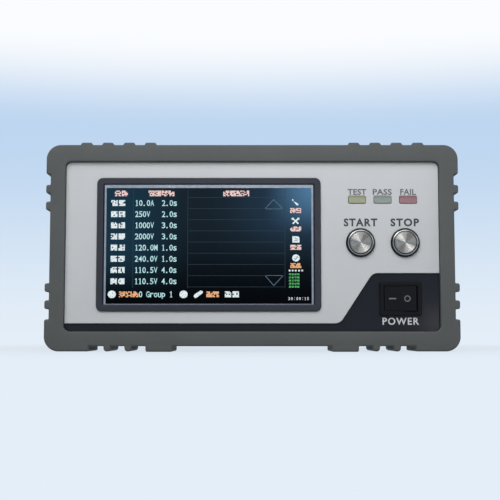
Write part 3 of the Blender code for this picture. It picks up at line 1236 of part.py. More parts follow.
def mains_transformer():
    """Ring transformer lying on the floor, held by a dished washer on a bolt."""
    low = FLOOR_TOP + GAP
    high = low + TOROID_HEIGHT
    soft = TOROID_ROUNDING
    shoulder = soft * (1 - math.cos(math.radians(45)))
    inner, outer = TOROID_BORE, TOROID_RADIUS
    profile = [(inner, low + soft), (inner + shoulder, low + shoulder), (inner + soft, low),
               (outer - soft, low), (outer - shoulder, low + shoulder), (outer, low + soft),
               (outer, high - soft), (outer - shoulder, high - shoulder), (outer - soft, high),
               (inner + soft, high), (inner + shoulder, high - shoulder), (inner, high - soft)]
    bm = bmesh.new()
    turned(bm, profile, (TOROID_X, TOROID_Y), axis="Z", sides=18)
    piece("mains_transformer", bm, "copper_winding")
    bm = bmesh.new()
    washer = high + GAP
    dish = washer - CLAMP_DISH
    head = dish + SHEET + CLAMP_HEAD_HEIGHT
    profile = [(0, low), (CLAMP_BOLT_RADIUS, low), (CLAMP_BOLT_RADIUS, dish),
               (TOROID_BORE - CLAMP_DISH, dish), (TOROID_BORE - SHEET, washer),
               (CLAMP_RADIUS, washer), (CLAMP_RADIUS, washer + SHEET),
               (TOROID_BORE - 2 * SHEET, washer + SHEET), (TOROID_BORE - CLAMP_DISH - SHEET, dish + SHEET),
               (CLAMP_HEAD_RADIUS, dish + SHEET), (CLAMP_HEAD_RADIUS, head), (0, head)]
    turned(bm, profile, (TOROID_X, TOROID_Y), axis="Z", sides=12)
    piece("transformer_clamp", bm, "zinc_steel")


def hv_transformer():
    """High-voltage transformer: a laminated core with a winding through it."""
    low = FLOOR_TOP + GAP
    core_x, core_y, core_z = HV_CORE_SIZE
    bm = bmesh.new()
    block(bm, (HV_TRANSFORMER_X - core_x / 2, HV_TRANSFORMER_Y - core_y / 2, low),
          (HV_TRANSFORMER_X + core_x / 2, HV_TRANSFORMER_Y + core_y / 2, low + core_z))
    core = piece("hv_transformer", bm, "transformer_core")
    winding_x, winding_y, winding_z = HV_WINDING_SIZE
    middle = low + core_z / 2
    winding = bmesh.new()
    plate(winding, rectangle(HV_TRANSFORMER_X, middle, winding_x, winding_z, HV_WINDING_ROUNDING, steps=3),
          HV_TRANSFORMER_Y - winding_y / 2, HV_TRANSFORMER_Y + winding_y / 2)
    combine(core, winding, "UNION", "hv_winding")


def power_supply():
    """Boxed power supply with a terminal strip at its front."""
    width, length, height = SUPPLY_SIZE
    low = FLOOR_TOP + GAP
    bm = bmesh.new()
    outline = rectangle(SUPPLY_X, low + height / 2, width, height, SUPPLY_RADIUS, steps=2)
    plate(bm, outline, SUPPLY_Y - length / 2, SUPPLY_Y + length / 2)
    box = piece("power_supply", bm, "aluminium")
    strip = bmesh.new()
    face = SUPPLY_Y - length / 2
    block(strip, (SUPPLY_X - TERMINAL_WIDTH / 2, face - TERMINAL_DEPTH, low + TERMINAL_LOW),
          (SUPPLY_X + TERMINAL_WIDTH / 2, face + JOIN, low + TERMINAL_HIGH))
    combine(box, strip, "UNION", "terminal_strip")


def heat_sink():
    """Extruded heat sink: a base with upright fins."""
    low = FLOOR_TOP + GAP
    top = low + HEAT_SINK_HEIGHT
    half = HEAT_SINK_WIDTH / 2
    pitch = (HEAT_SINK_WIDTH - FIN_THICKNESS) / (FIN_COUNT - 1)
    valley = low + HEAT_SINK_BASE
    outline = [(-half, low), (half, low)]
    for index in reversed(range(FIN_COUNT)):
        fin_left = -half + index * pitch
        fin_right = fin_left + FIN_THICKNESS
        if index < FIN_COUNT - 1:
            outline.append((fin_right, valley))
        outline += [(fin_right, top), (fin_left, top)]
        if index > 0:
            outline.append((fin_left, valley))
    bm = bmesh.new()
    plate(bm, outline, HEAT_SINK_Y - HEAT_SINK_LENGTH / 2, HEAT_SINK_Y + HEAT_SINK_LENGTH / 2)
    piece("heat_sink", bm, "aluminium")


# Build

for leftover in list(bpy.data.objects):
    bpy.data.objects.remove(leftover)

bumper("front_bumper", FRONT_Y, 1, FRONT_LIP)
bumper("rear_bumper", REAR_Y, -1, REAR_LIP)
top_cover()
bottom_chassis()
front_panel()
fascia_plate()
display()
lamps()
push_button("start", BUTTON_X[0])
push_button("stop", BUTTON_X[1])
power_switch()
rear_panel()
fan_guard()
fan()
mains_inlet()
output_sockets()
data_ports()
earth_terminal()
boards()
mains_transformer()
hv_transformer()
power_supply()
heat_sink()
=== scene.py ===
# %% [markdown]
# # Dressing an electrical safety tester
#
# The construction model is packed already: every solid has its place, its body and its joint. This notebook
# gives those solids their finish, rebuilds the few whose soft edges or grain show most, and adds what is too
# fine for a construction model: print, screen graphics, screws, contacts and windings. Nothing that was built
# is moved. All sizes are in metres, +Z is up, and the instrument's front looks along -Y.

import json
import math

import bmesh
import bpy
from mathutils import Matrix, Vector
from mathutils.bvhtree import BVHTree

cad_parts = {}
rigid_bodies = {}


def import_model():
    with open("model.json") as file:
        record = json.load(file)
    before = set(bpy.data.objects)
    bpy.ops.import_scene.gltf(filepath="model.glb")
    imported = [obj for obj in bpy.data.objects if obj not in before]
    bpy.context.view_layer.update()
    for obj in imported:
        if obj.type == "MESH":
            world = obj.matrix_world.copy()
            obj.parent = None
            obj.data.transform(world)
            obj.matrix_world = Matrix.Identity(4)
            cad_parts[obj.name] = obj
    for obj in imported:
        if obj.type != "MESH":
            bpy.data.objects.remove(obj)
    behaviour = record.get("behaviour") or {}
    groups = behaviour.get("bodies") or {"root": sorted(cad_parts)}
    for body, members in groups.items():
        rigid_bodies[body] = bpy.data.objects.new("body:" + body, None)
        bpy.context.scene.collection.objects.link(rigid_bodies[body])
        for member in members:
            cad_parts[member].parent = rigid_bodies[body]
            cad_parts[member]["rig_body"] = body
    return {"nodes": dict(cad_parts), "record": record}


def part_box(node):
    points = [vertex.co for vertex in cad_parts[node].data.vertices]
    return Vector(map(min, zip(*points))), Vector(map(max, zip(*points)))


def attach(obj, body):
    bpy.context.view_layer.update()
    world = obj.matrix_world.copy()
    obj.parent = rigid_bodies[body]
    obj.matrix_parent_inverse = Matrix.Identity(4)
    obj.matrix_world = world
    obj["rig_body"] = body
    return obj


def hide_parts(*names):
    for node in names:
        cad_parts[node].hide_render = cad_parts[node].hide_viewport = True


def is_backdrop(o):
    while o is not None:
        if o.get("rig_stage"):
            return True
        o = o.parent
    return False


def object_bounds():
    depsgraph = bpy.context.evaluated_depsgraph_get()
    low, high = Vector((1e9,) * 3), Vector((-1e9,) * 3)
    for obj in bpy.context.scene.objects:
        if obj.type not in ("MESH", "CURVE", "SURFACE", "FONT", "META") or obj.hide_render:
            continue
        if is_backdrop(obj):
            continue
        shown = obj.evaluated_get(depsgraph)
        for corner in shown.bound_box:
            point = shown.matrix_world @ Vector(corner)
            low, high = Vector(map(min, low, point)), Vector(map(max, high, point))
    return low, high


FULL_TURN = 2 * math.pi
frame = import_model()
nodes = frame["nodes"]
cad_low, cad_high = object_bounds()
slots = {entry["node"]: entry["material_slot"] for entry in frame["record"]["subparts"]}
print("nodes:", len(nodes), "box:", [round(value, 4) for value in (cad_high - cad_low)])

# %% [markdown]
# ## Camera
#
# A photograph of a product front is taken from a little way off, nearly square on. The lit area of the screen
# has a known size, so it gives the scale at the front's plane: metres for each pixel. Once a distance is
# chosen, scale and image width fix the lens. The lower edge is slightly wider than the upper one, which a
# camera a little below the middle explains, so the camera looks up by a few degrees.

# %% Camera
IMAGE_PIXELS = 500
METRES_PER_PIXEL = 0.00075
ORIGIN_PIXEL = (252.2, 351.4)
CAMERA_DISTANCE = 0.75
CAMERA_ELEVATION = math.radians(-4.7)
SENSOR = 36.0


def placed(name, data):
    """Object of this data, shown but not yet a piece."""
    made = bpy.data.objects.new(name, data)
    bpy.context.scene.collection.objects.link(made)
    return made


aim = Vector(((IMAGE_PIXELS / 2 - ORIGIN_PIXEL[0]) * METRES_PER_PIXEL, cad_low.y,
              (ORIGIN_PIXEL[1] - IMAGE_PIXELS / 2) * METRES_PER_PIXEL))
sight = Vector((0, math.cos(CAMERA_ELEVATION), -math.sin(CAMERA_ELEVATION)))
camera_data = bpy.data.cameras.new("camera")
camera_data.sensor_width = SENSOR
camera_data.lens = SENSOR * CAMERA_DISTANCE / (IMAGE_PIXELS * METRES_PER_PIXEL)
camera_data.clip_start = 0.01
camera = placed("camera", camera_data)
camera.location = aim - sight * CAMERA_DISTANCE
camera.rotation_euler = sight.to_track_quat("-Z", "Y").to_euler()
bpy.context.scene.camera = camera
bpy.context.scene.view_settings.view_transform = "Standard"
print("lens:", round(camera_data.lens, 1), "mm, camera height:", round(camera.location.z, 4), "m")

# %% [markdown]
# ## Node trees as arithmetic
#
# Procedural finishes are formulas: a grain is noise, a wear mask is one minus a ramp, a board's tracks are
# the distance to the nearest line of a grid. Wiring each step by hand hides the formula, so a small class
# wraps an output socket and lets Python's own operators add the Math nodes. `Tree` has a single method for
# every other kind of node, and serves materials, the world and Geometry Nodes alike. Colours go through Mix
# nodes, because a Math node would turn them grey.

# %% Wire
def arithmetic(operation, swapped=False):
    """Method that adds one Math node for a wire and the other values."""
    def method(wire, *others):
        values = (*others, wire) if swapped else (wire, *others)
        return wire.home.add("ShaderNodeMath", {"operation": operation}, dict(enumerate(values)))
    return method


class Wire:
    """An output socket. Arithmetic on it adds Math nodes to its tree."""

    def __init__(self, home, socket):
        self.home = home
        self.socket = socket

    __add__, __radd__ = arithmetic("ADD"), arithmetic("ADD", swapped=True)
    __sub__, __rsub__ = arithmetic("SUBTRACT"), arithmetic("SUBTRACT", swapped=True)
    __mul__, __rmul__ = arithmetic("MULTIPLY"), arithmetic("MULTIPLY", swapped=True)
    __truediv__ = arithmetic("DIVIDE")
    root, wave = arithmetic("SQRT"), arithmetic("SINE")
    size, whole = arithmetic("ABSOLUTE"), arithmetic("ROUND")
    least, most = arithmetic("MINIMUM"), arithmetic("MAXIMUM")

    def cell(self, pitch):
        """Distance to the nearest multiple of a pitch."""
        share = self / pitch
        return (share - share.whole()).size() * pitch

    def ramp(self, low, high):
        """Rises smoothly from 0 at low to 1 at high."""
        sockets = {"Value": self, "From Min": low, "From Max": high}
        return self.home.add("ShaderNodeMapRange", {"interpolation_type": "SMOOTHSTEP"}, sockets)


print("a wire knows:", [name for name in vars(Wire) if not name.startswith("_")])


# %% Tree
def tone(red, green, blue):
    """Linear colour of a screen colour given as 0 to 255."""
    linear = [(value / 255 / 12.92) if value <= 10 else ((value / 255 + 0.055) / 1.055) ** 2.4
              for value in (red, green, blue)]
    return (*linear, 1.0)


def found(sockets, key):
    """Socket by its identifier or name, or else by its number."""
    named = [socket for socket in sockets if key in (socket.identifier, socket.name)]
    return named[0] if named else sockets[key]


class Tree:
    """A node tree, filled by one method."""

    def __init__(self, tree):
        self.tree = tree

    def add(self, kind, settings=None, sockets=None, output=0):
        """New node: its settings first, then the values or wires of its sockets."""
        node = self.tree.nodes.new(kind)
        for name, value in (settings or {}).items():
            setattr(node, name, value)
        for key, value in (sockets or {}).items():
            if isinstance(value, Wire):
                self.tree.links.new(value.socket, found(node.inputs, key))
            else:
                found(node.inputs, key).default_value = value
        return Wire(self, found(node.outputs, output))

    def mix(self, low, high, factor):
        """Colour between two colours."""
        sockets = {"Factor_Float": factor, "A_Color": low, "B_Color": high}
        return self.add("ShaderNodeMix", {"data_type": "RGBA"}, sockets, "Result_Color")

    def shown_rays(self):
        """1 for rays from the camera, from gloss and through glass."""
        camera_ray, gloss_ray, glass_ray = [self.add("ShaderNodeLightPath", output=name) for name in
                                            ("Is Camera Ray", "Is Glossy Ray", "Is Transmission Ray")]
        return camera_ray.most(gloss_ray).most(glass_ray)


print("grey 128 is", round(tone(128, 128, 128)[0], 3), "in linear light")


# %% Finish
class Finish(Tree):
    """A material: one Principled shader and the nodes that feed it."""

    def __init__(self, name, **constants):
        self.material = bpy.data.materials.new(name)
        self.material.use_nodes = True
        super().__init__(self.material.node_tree)
        self.shader = self.tree.nodes["Principled BSDF"]
        for socket, value in constants.items():
            self.shader.inputs[socket.replace("_", " ")].default_value = value
        self.place = self.add("ShaderNodeTexCoord", output="Object")

    def axes(self):
        """The three coordinates of a place, as wires."""
        return [self.add("ShaderNodeSeparateXYZ", None, {"Vector": self.place}, axis) for axis in "XYZ"]

    def noise(self, pitch, detail=2.0, place=None):
        """Cloudy noise about 0.5, whose blots are about a pitch across."""
        sockets = {"Vector": place or self.place, "Scale": 1 / pitch, "Detail": detail}
        return self.add("ShaderNodeTexNoise", sockets=sockets)

    def grains(self, pitch):
        """Distance from the middle of each grain, 0 at the middle."""
        return self.add("ShaderNodeTexVoronoi", None, {"Vector": self.place, "Scale": 1 / pitch}, "Distance")

    def feed(self, socket, wire):
        self.tree.links.new(wire.socket, self.shader.inputs[socket])

    def skin(self, low, high, share, roughness, height=None):
        """Colour between two colours, roughness, and a bump from a height in metres."""
        self.feed("Base Color", self.mix(low, high, share))
        self.feed("Roughness", roughness)
        if height is not None:
            self.feed("Normal", self.add("ShaderNodeBump", sockets={"Height": height, "Distance": 1.0}))
        return self


print("a finish knows:", [name for name in vars(Finish) if not name.startswith("_")])

# %% [markdown]
# ## Stage and light
#
# The instrument stands on a pale floor in soft light. A lamp above and in front gives the gentle fall of
# brightness from the top of the front to its foot. One further off at the upper left lights the turned metal,
# a very small one low at the right leaves a soft patch in the dark gloss, and weak ones open the sides and
# the rear. The pale background comes from the colour that the world shows to camera and glossy rays, so it
# puts no extra light on the object. It deepens with height and ends in white. Far from the object the floor
# turns into its colour, which hides the horizon, and close to it the floor stays a lit surface, which keeps
# the shadow.

# %% Lamps
def soft_light(name, place, reach, watts):
    """Square lamp of a given width, aimed at the middle of the front."""
    data = bpy.data.lights.new(name, "AREA")
    data.shape = "SQUARE"
    data.size = reach
    data.energy = watts
    lamp = placed(name, data)
    lamp.location = place
    lamp.rotation_euler = (aim - Vector(place)).to_track_quat("-Z", "Y").to_euler()
    lamp.visible_camera = False
    return lamp


lamps = [soft_light("key_light", (0.05, -0.50, 0.40), 0.4, 1.25),
         soft_light("glint_light", (-0.55, -1.00, 1.00), 0.8, 8.5),
         soft_light("right_light", (1.35, -0.60, 0.45), 0.8, 3.0),
         soft_light("low_light", (0.215, -0.585, 0.025), 0.03, 0.012),
         soft_light("left_light", (-1.35, 0.10, 0.60), 0.8, 3.0),
         soft_light("back_light", (0.30, 1.50, 1.20), 1.0, 14.0)]
print("lamps:", [(lamp.name, lamp.data.energy) for lamp in lamps])

# %% World
SKY_HIGH = tone(190, 214, 240)
SKY_LOW = tone(228, 238, 248)
SKY_WHITE = tone(250, 252, 255)
BLUE_RISE = (-0.02, 0.20)
WHITE_RISE = (0.20, 0.29)
WORLD_LIGHT = 0.15

world = bpy.data.worlds.new("studio")
bpy.context.scene.world = world
world.use_nodes = True
sky = Tree(world.node_tree)
light = sky.add("ShaderNodeBackground", sockets={"Color": tone(252, 253, 255), "Strength": WORLD_LIGHT})
direction = sky.add("ShaderNodeTexCoord", output="Generated")
height = sky.add("ShaderNodeSeparateXYZ", sockets={"Vector": direction}, output="Z")
blue = sky.mix(SKY_LOW, SKY_HIGH, height.ramp(*BLUE_RISE))
shown = sky.mix(blue, SKY_WHITE, height.ramp(*WHITE_RISE))
backdrop = sky.add("ShaderNodeBackground", sockets={"Color": shown})
chosen = sky.add("ShaderNodeMixShader", sockets={0: sky.shown_rays(), 1: light, 2: backdrop})
sky.tree.links.new(chosen.socket, sky.tree.nodes["World Output"].inputs["Surface"])
print("world light:", WORLD_LIGHT)

# %% Floor
FLOOR_HALF = 20.0
FLOOR_NEAR = 0.16
FLOOR_FAR = 0.45
FLOOR_SHARE = 0.85

floor_mesh = bpy.data.meshes.new("floor")
floor_corners = [(x * FLOOR_HALF, y * FLOOR_HALF, 0) for x, y in ((-1, -1), (1, -1), (1, 1), (-1, 1))]
floor_mesh.from_pydata(floor_corners, [], [(0, 1, 2, 3)])
floor = placed("floor", floor_mesh)
pale_floor = Finish("pale_floor", Base_Color=tone(182, 182, 182), Roughness=0.9)
far_out = pale_floor.add("ShaderNodeVectorMath", {"operation": "LENGTH"}, {0: pale_floor.place}, "Value")
bright = pale_floor.add("ShaderNodeEmission", sockets={"Color": SKY_LOW})
share = pale_floor.shown_rays() * (FLOOR_SHARE + (1 - FLOOR_SHARE) * far_out.ramp(FLOOR_NEAR, FLOOR_FAR))
lit = Wire(pale_floor, pale_floor.shader.outputs[0])
pale = pale_floor.add("ShaderNodeMixShader", sockets={0: share, 1: lit, 2: bright})
pale_floor.tree.links.new(pale.socket, pale_floor.tree.nodes["Material Output"].inputs["Surface"])
floor_mesh.materials.append(pale_floor.material)
floor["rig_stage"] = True
print("floor:", 2 * FLOOR_HALF, "m")

# %% [markdown]
# ## Moulded rubber
#
# The bumpers are a grey moulded elastomer. Its mould was spark-eroded, so the skin is a fine even grain that
# scatters light, and handling leaves faint cloudy marks. Small round cells make the grain, and two noises of
# different size vary colour and roughness.

# %% Rubber finish
rubber = Finish("moulded_rubber", Specular_IOR_Level=0.3)
smudge = rubber.noise(0.035, detail=4)
rubber.skin(tone(70, 73, 73), tone(89, 92, 92), 0.75 * smudge + 0.25 * rubber.noise(0.0012),
            0.58 + 0.16 * smudge, 0.00003 * rubber.grains(0.0006) + 0.00008 * rubber.noise(0.009))
print("rubber nodes:", len(rubber.tree.nodes))

# %% [markdown]
# ## Painted front and case
#
# The light fascia is a satin silver-grey print on a polyester film: it has very small flakes, seen as a
# slight sparkle, and a faint orange peel. The case is powder coated, with a coarser peel. The dark part of
# the front is a smooth moulding with a glossy skin, whose long waves bend what it reflects.

# %% Paint finishes
fascia_paint = Finish("satin_silver_print", Specular_IOR_Level=0.4, Coat_Weight=0.1, Coat_Roughness=0.4)
flakes = fascia_paint.grains(0.00035)
fascia_paint.skin(tone(184, 187, 190), tone(198, 201, 204), 0.6 * flakes + 0.4 * fascia_paint.noise(0.05),
                  0.48 + 0.12 * fascia_paint.noise(0.0005), 0.000006 * fascia_paint.noise(0.0009))

case_paint = Finish("powder_coat", Coat_Weight=0.1, Coat_Roughness=0.35)
peel = case_paint.noise(0.0016, detail=1)
case_paint.skin(tone(186, 187, 186), tone(203, 204, 203), case_paint.noise(0.08, detail=3),
                0.44 + 0.14 * peel, 0.00003 * peel + 0.00001 * case_paint.grains(0.0005))

dark_gloss = Finish("dark_gloss_moulding", Specular_IOR_Level=0.06, Coat_Weight=0.25, Coat_Roughness=0.14)
long_wave = dark_gloss.noise(0.06, detail=1)
dark_gloss.skin(tone(18, 20, 27), tone(27, 30, 38), long_wave,
                0.26 + 0.12 * dark_gloss.noise(0.012, detail=3),
                0.00005 * long_wave + 0.000003 * dark_gloss.noise(0.0012))
print("paints:", fascia_paint.material.name, case_paint.material.name, dark_gloss.material.name)

# %% Plastic finishes
MOULD_GRAIN = 0.0005


def moulded_plastic(name, dark, light, roughness, depth=0.000012, gloss=0.4):
    """Plastic with the even texture of its mould and faint clouding."""
    finish = Finish(name, Specular_IOR_Level=gloss)
    cloud = finish.noise(0.02, detail=3)
    return finish.skin(dark, light, cloud, roughness + 0.12 * (cloud - 0.5),
                       depth * finish.grains(MOULD_GRAIN))


bezel_plastic = moulded_plastic("bezel_plastic", tone(40, 43, 51), tone(50, 53, 61), 0.42, gloss=0.22)
black_plastic = moulded_plastic("black_plastic", tone(20, 20, 22), tone(32, 32, 34), 0.42)
switch_plastic = moulded_plastic("switch_plastic", tone(8, 9, 12), tone(15, 16, 20), 0.36, 0.000006, 0.12)
red_plastic = moulded_plastic("red_plastic", tone(150, 18, 20), tone(178, 30, 28), 0.34)
print("nodes of a plastic:", len(black_plastic.tree.nodes))

# %% [markdown]
# ## Metals
#
# The same metal looks different after each process. Zinc-plated sheet is cloudy, an extrusion has lines along
# its length, and a turned face is smooth along the cut. Steel takes its look from what it mirrors, so its own
# colour and roughness vary only a little. The buttons' outer rim is a painted reflection: its colour turns
# nearly black with its distance from their axes, for the dark surroundings a polished rim would mirror.

# %% Metal finishes
SCRATCH = 0.0009


def plain_metal(name, dark, light, roughness, stretch=(1, 1, 1)):
    """Metal with clouded colour and scratches that may be stretched along one axis."""
    finish = Finish(name, Metallic=1.0)
    drawn_out = finish.add("ShaderNodeMapping", sockets={"Vector": finish.place, "Scale": stretch})
    lines = finish.noise(SCRATCH, detail=3, place=drawn_out)
    return finish.skin(dark, light, 0.5 * lines + 0.5 * finish.noise(0.01), roughness + 0.2 * (lines - 0.5),
                       0.000012 * lines)


zinc = plain_metal("zinc_plate", tone(168, 171, 174), tone(205, 208, 210), 0.38)
aluminium = plain_metal("extruded_aluminium", tone(196, 198, 201), tone(222, 223, 225), 0.34, (1, 0.05, 1))
brass = plain_metal("turned_brass", tone(188, 152, 88), tone(222, 186, 118), 0.28)
print("nodes of a metal:", len(zinc.tree.nodes))

# %% Button steel
BUTTONS = ("start_button", "stop_button")
PAINTED_REFLECTION_EDGE = (0.0095, 0.0098)
button_centres = [(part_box(name + "_cap")[0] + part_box(name + "_cap")[1]) / 2 for name in BUTTONS]

spun_steel = Finish("spun_steel", Metallic=1.0)
spun_cloud = spun_steel.noise(0.003)
spun_steel.skin(tone(114, 113, 111), tone(129, 128, 126), spun_cloud, 0.23 + 0.05 * spun_cloud,
                0.000002 * spun_steel.noise(0.0004))

button_steel = Finish("button_ring_steel", Metallic=1.0)
x, _, z = button_steel.axes()
from_axis = [((x - centre.x) * (x - centre.x) + (z - centre.z) * (z - centre.z)).root()
             for centre in button_centres]
ring_cloud = button_steel.noise(0.004, detail=3)
ring_metal = button_steel.mix(tone(118, 118, 118), tone(150, 150, 148), ring_cloud)
# Painted reflection: towards the outer edge the ring's colour turns nearly black, standing in for dark
# surroundings mirrored in polished steel.
button_steel.skin(ring_metal, tone(34, 34, 36), from_axis[0].least(from_axis[1]).ramp(*PAINTED_REFLECTION_EDGE),
                  0.14 + 0.06 * ring_cloud, 0.000006 * ring_cloud)
print("button axes at", [tuple(round(value, 4) for value in centre) for centre in button_centres])

# %% [markdown]
# ## Lamp lenses and the lit screen
#
# An unlit lens is coloured plastic over a pale reflector, so it looks dusty rather than bright, and its upper
# edge carries a painted shadow of the recess. The screen is the only thing that gives light, and a painted
# reflection is laid into that light: lighter and bluer towards the upper right and the left, nearly black at
# the foot of the picture. Its colour is mixed from ramps over the place and goes into the emission.

# %% Lenses
LENS_TONES = {"test_lamp": (tone(128, 133, 102), tone(158, 163, 136)),
              "pass_lamp": (tone(110, 122, 117), tone(144, 154, 149)),
              "fail_lamp": (tone(122, 80, 87), tone(154, 117, 123))}
SHADE_FROM = 0.0035
SHADE_END = 0.0008


def lens(name, dark, light):
    """Coloured lens plastic, with a painted shadow of its recess along the upper edge."""
    low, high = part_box(name)
    finish = Finish(name + "_lens_plastic", Coat_Weight=0.3, Coat_Roughness=0.15)
    # Painted shadow: the colour turns darker towards the upper edge, where the fascia's recess shades the
    # lens.
    shade = finish.axes()[2].ramp(low.z + SHADE_FROM, high.z - SHADE_END)
    return finish.skin(light, dark, 0.7 * shade + 0.3 * finish.noise(0.002), 0.32 + 0.1 * finish.noise(0.001))


lenses = {name: lens(name, *tones) for name, tones in LENS_TONES.items()}
print("lenses:", sorted(lenses))

# %% Screen
SCREEN_DOTS = (800, 480)
DOT = (0.15408 / SCREEN_DOTS[0], 0.08592 / SCREEN_DOTS[1])
WINDOW = (0.07740, 0.04385)
RIM_LINE = 0.0013
RIM_FADE = 0.0002

frame_low, frame_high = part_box("display_frame")
screen_centre = ((frame_low.x + frame_high.x) / 2, (frame_low.z + frame_high.z) / 2)
screen_width, screen_height = DOT[0] * SCREEN_DOTS[0], DOT[1] * SCREEN_DOTS[1]
screen_left = screen_centre[0] - screen_width / 2
screen_top = screen_centre[1] + screen_height / 2

screen_rim = Finish("screen_rim", Metallic=1.0)
x, _, z = screen_rim.axes()
beyond = ((x - screen_centre[0]).size() - WINDOW[0]).most((z - screen_centre[1]).size() - WINDOW[1])
rim_cloud = screen_rim.noise(0.003, detail=3)
line_metal = screen_rim.mix(tone(120, 125, 134), tone(158, 163, 172), rim_cloud)
# Painted shade: beyond the thin line the frame's colour turns dark, standing in for the shadow under the
# bezel's wall.
screen_rim.skin(line_metal, tone(34, 37, 44), beyond.ramp(RIM_LINE, RIM_LINE + RIM_FADE),
                0.30 + 0.1 * rim_cloud, 0.000006 * rim_cloud)

lit_screen = Finish("lit_screen", Base_Color=tone(2, 3, 4), Specular_IOR_Level=0.02, Emission_Strength=1.0)
x, _, z = lit_screen.axes()
across = (x - screen_left) / screen_width
up = (z - (screen_top - screen_height)) / screen_height
# Painted reflection: the screen's light is made nearly black at the foot and lighter towards the top, with
# bluer patches to the upper right and the left, standing in for what the glass would mirror.
glow_and_painted_reflection = lit_screen.mix(tone(0, 1, 3), tone(19, 31, 40), up.ramp(-0.05, 0.80))
glow_and_painted_reflection = lit_screen.mix(glow_and_painted_reflection, tone(38, 62, 84), 0.8 * (across.ramp(0.45, 1.0) * up.ramp(0.25, 0.85)))
glow_and_painted_reflection = lit_screen.mix(glow_and_painted_reflection, tone(22, 54, 72), 0.8 * ((1 - across.ramp(0.05, 0.45)) * up.ramp(0.0, 0.5)))
# Painted reflection: a light blue patch in the upper right corner of the screen's light.
painted_reflection = across.ramp(0.76, 1.03) * up.ramp(0.55, 1.0)
lit_screen.feed("Emission Color", lit_screen.mix(glow_and_painted_reflection, tone(78, 120, 154), painted_reflection))
lit_screen.feed("Roughness", 0.30 + 0.06 * lit_screen.noise(0.01))
print("screen: left", round(screen_left, 4), "top", round(screen_top, 4))

# %% Lit dots
DOT_DIM = 0.82
GLOW_TONES = {"white": (232, 244, 248), "cyan": (190, 236, 240), "pink": (244, 208, 204),
              "orange": (240, 178, 128), "green": (92, 196, 112), "grid_line": (44, 60, 72),
              "arrow_line": (92, 120, 138)}


def glow(name, *colour):
    """Lit dots of one colour."""
    finish = Finish(name + "_dots", Base_Color=tone(8, 8, 8), Specular_IOR_Level=0.1, Emission_Strength=1.0)
    dim = tone(*[value * DOT_DIM for value in colour])
    finish.feed("Emission Color", finish.mix(dim, tone(*colour), finish.noise(0.0012).ramp(0.3, 0.6)))
    return finish


glows = {name: glow(name, *colour) for name, colour in GLOW_TONES.items()}
print("dot colours:", list(glows))

# %% [markdown]
# ## Inner finishes
#
# Circuit boards carry a green varnish over copper tracks, which shows as lighter lines on a grid. The parts
# soldered to a board are of one mesh with it, so their colours are chosen by height above the board.

# %% Board finishes
BOARD_THICKNESS = 0.0016
CONTROL_BOARD_Z = 0.0640
NOTHING_ABOVE = 1.0
TRACK_PITCH = (0.0026, 0.0032)
TRACK_EDGE = (0.0002, 0.0004)


def board_finish(name, top, parts_colour):
    """Green board with tracks; whatever stands above its top face has another colour."""
    finish = Finish(name, Coat_Weight=0.3, Coat_Roughness=0.2)
    *flat, z = finish.axes()
    across, along = [axis.cell(pitch).ramp(*TRACK_EDGE) for axis, pitch in zip(flat, TRACK_PITCH)]
    islands = finish.noise(0.012, detail=0).ramp(0.48, 0.52)
    tracks = 1 - (islands * across + (1 - islands) * along)
    varnish = finish.mix(tone(14, 78, 48), tone(42, 122, 74), tracks)
    raised = z.ramp(top + 0.0001, top + 0.0003)
    parts = finish.mix(parts_colour, tone(66, 68, 72), finish.noise(0.004).ramp(0.3, 0.9))
    return finish.skin(varnish, parts, raised, 0.34 + 0.12 * finish.noise(0.003),
                       0.00003 * tracks * (1 - raised))


main_board_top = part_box("main_board")[0].z + BOARD_THICKNESS
main_varnish = board_finish("main_board_varnish", main_board_top, tone(40, 62, 110))
control_varnish = board_finish("control_board_varnish", CONTROL_BOARD_Z + BOARD_THICKNESS, tone(30, 30, 32))
small_varnish = board_finish("small_board_varnish", NOTHING_ABOVE, tone(30, 30, 32))
print("nodes of a board:", len(main_varnish.tree.nodes))

# %% Winding, core and glass finishes
SHEET_PITCH = 0.001
FUSE_CAP = (0.0043, 0.0045)

copper = Finish("enamelled_copper", Metallic=0.85, Coat_Weight=0.5, Coat_Roughness=0.15)
copper_shade = copper.noise(0.002)
copper.skin(tone(150, 74, 34), tone(204, 118, 62), copper_shade, 0.25 + 0.15 * copper_shade,
            0.00001 * copper.noise(0.0006))

core_steel = Finish("laminated_core", Metallic=0.6)
sheets = (core_steel.axes()[2] * (FULL_TURN / SHEET_PITCH)).wave()
core_steel.skin(tone(70, 72, 76), tone(104, 106, 110), 0.5 + 0.5 * sheets,
                0.5 + 0.1 * core_steel.noise(0.002), 0.00004 * sheets)

fuse_glass = Finish("fuse_glass", Coat_Weight=0.5)
fuse_low, fuse_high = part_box("fuse_live")
caps = (fuse_glass.axes()[1] - (fuse_low.y + fuse_high.y) / 2).size().ramp(*FUSE_CAP)
fuse_glass.feed("Metallic", caps)
fuse_glass.skin(tone(214, 222, 222), tone(190, 188, 182), caps,
                0.08 + 0.2 * caps + 0.05 * fuse_glass.noise(0.001))
print("inner finishes ready")

# %% [markdown]
# ## Mesh helpers
#
# Three ways of making a solid cover most of the instrument. `softened` copies a built solid, joins its loose
# triangles back into flat faces and rounds its edges by a few tenths of a millimetre, because a real edge
# catches a line of light and a sharp one never does. `loft` skins through outlines, for the bumpers. `lathe`
# turns a profile, for buttons and screw heads.

# %% Pieces and meshes
def dressed(name, mesh, finish, slot, *replaced, body="case"):
    """Object from a finished mesh: it rides on a body and may stand for built solids."""
    made = placed(name, mesh)
    mesh.name = name
    mesh.materials.clear()
    mesh.materials.append(finish.material)
    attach(made, body)
    if replaced:
        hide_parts(*replaced)
    return made


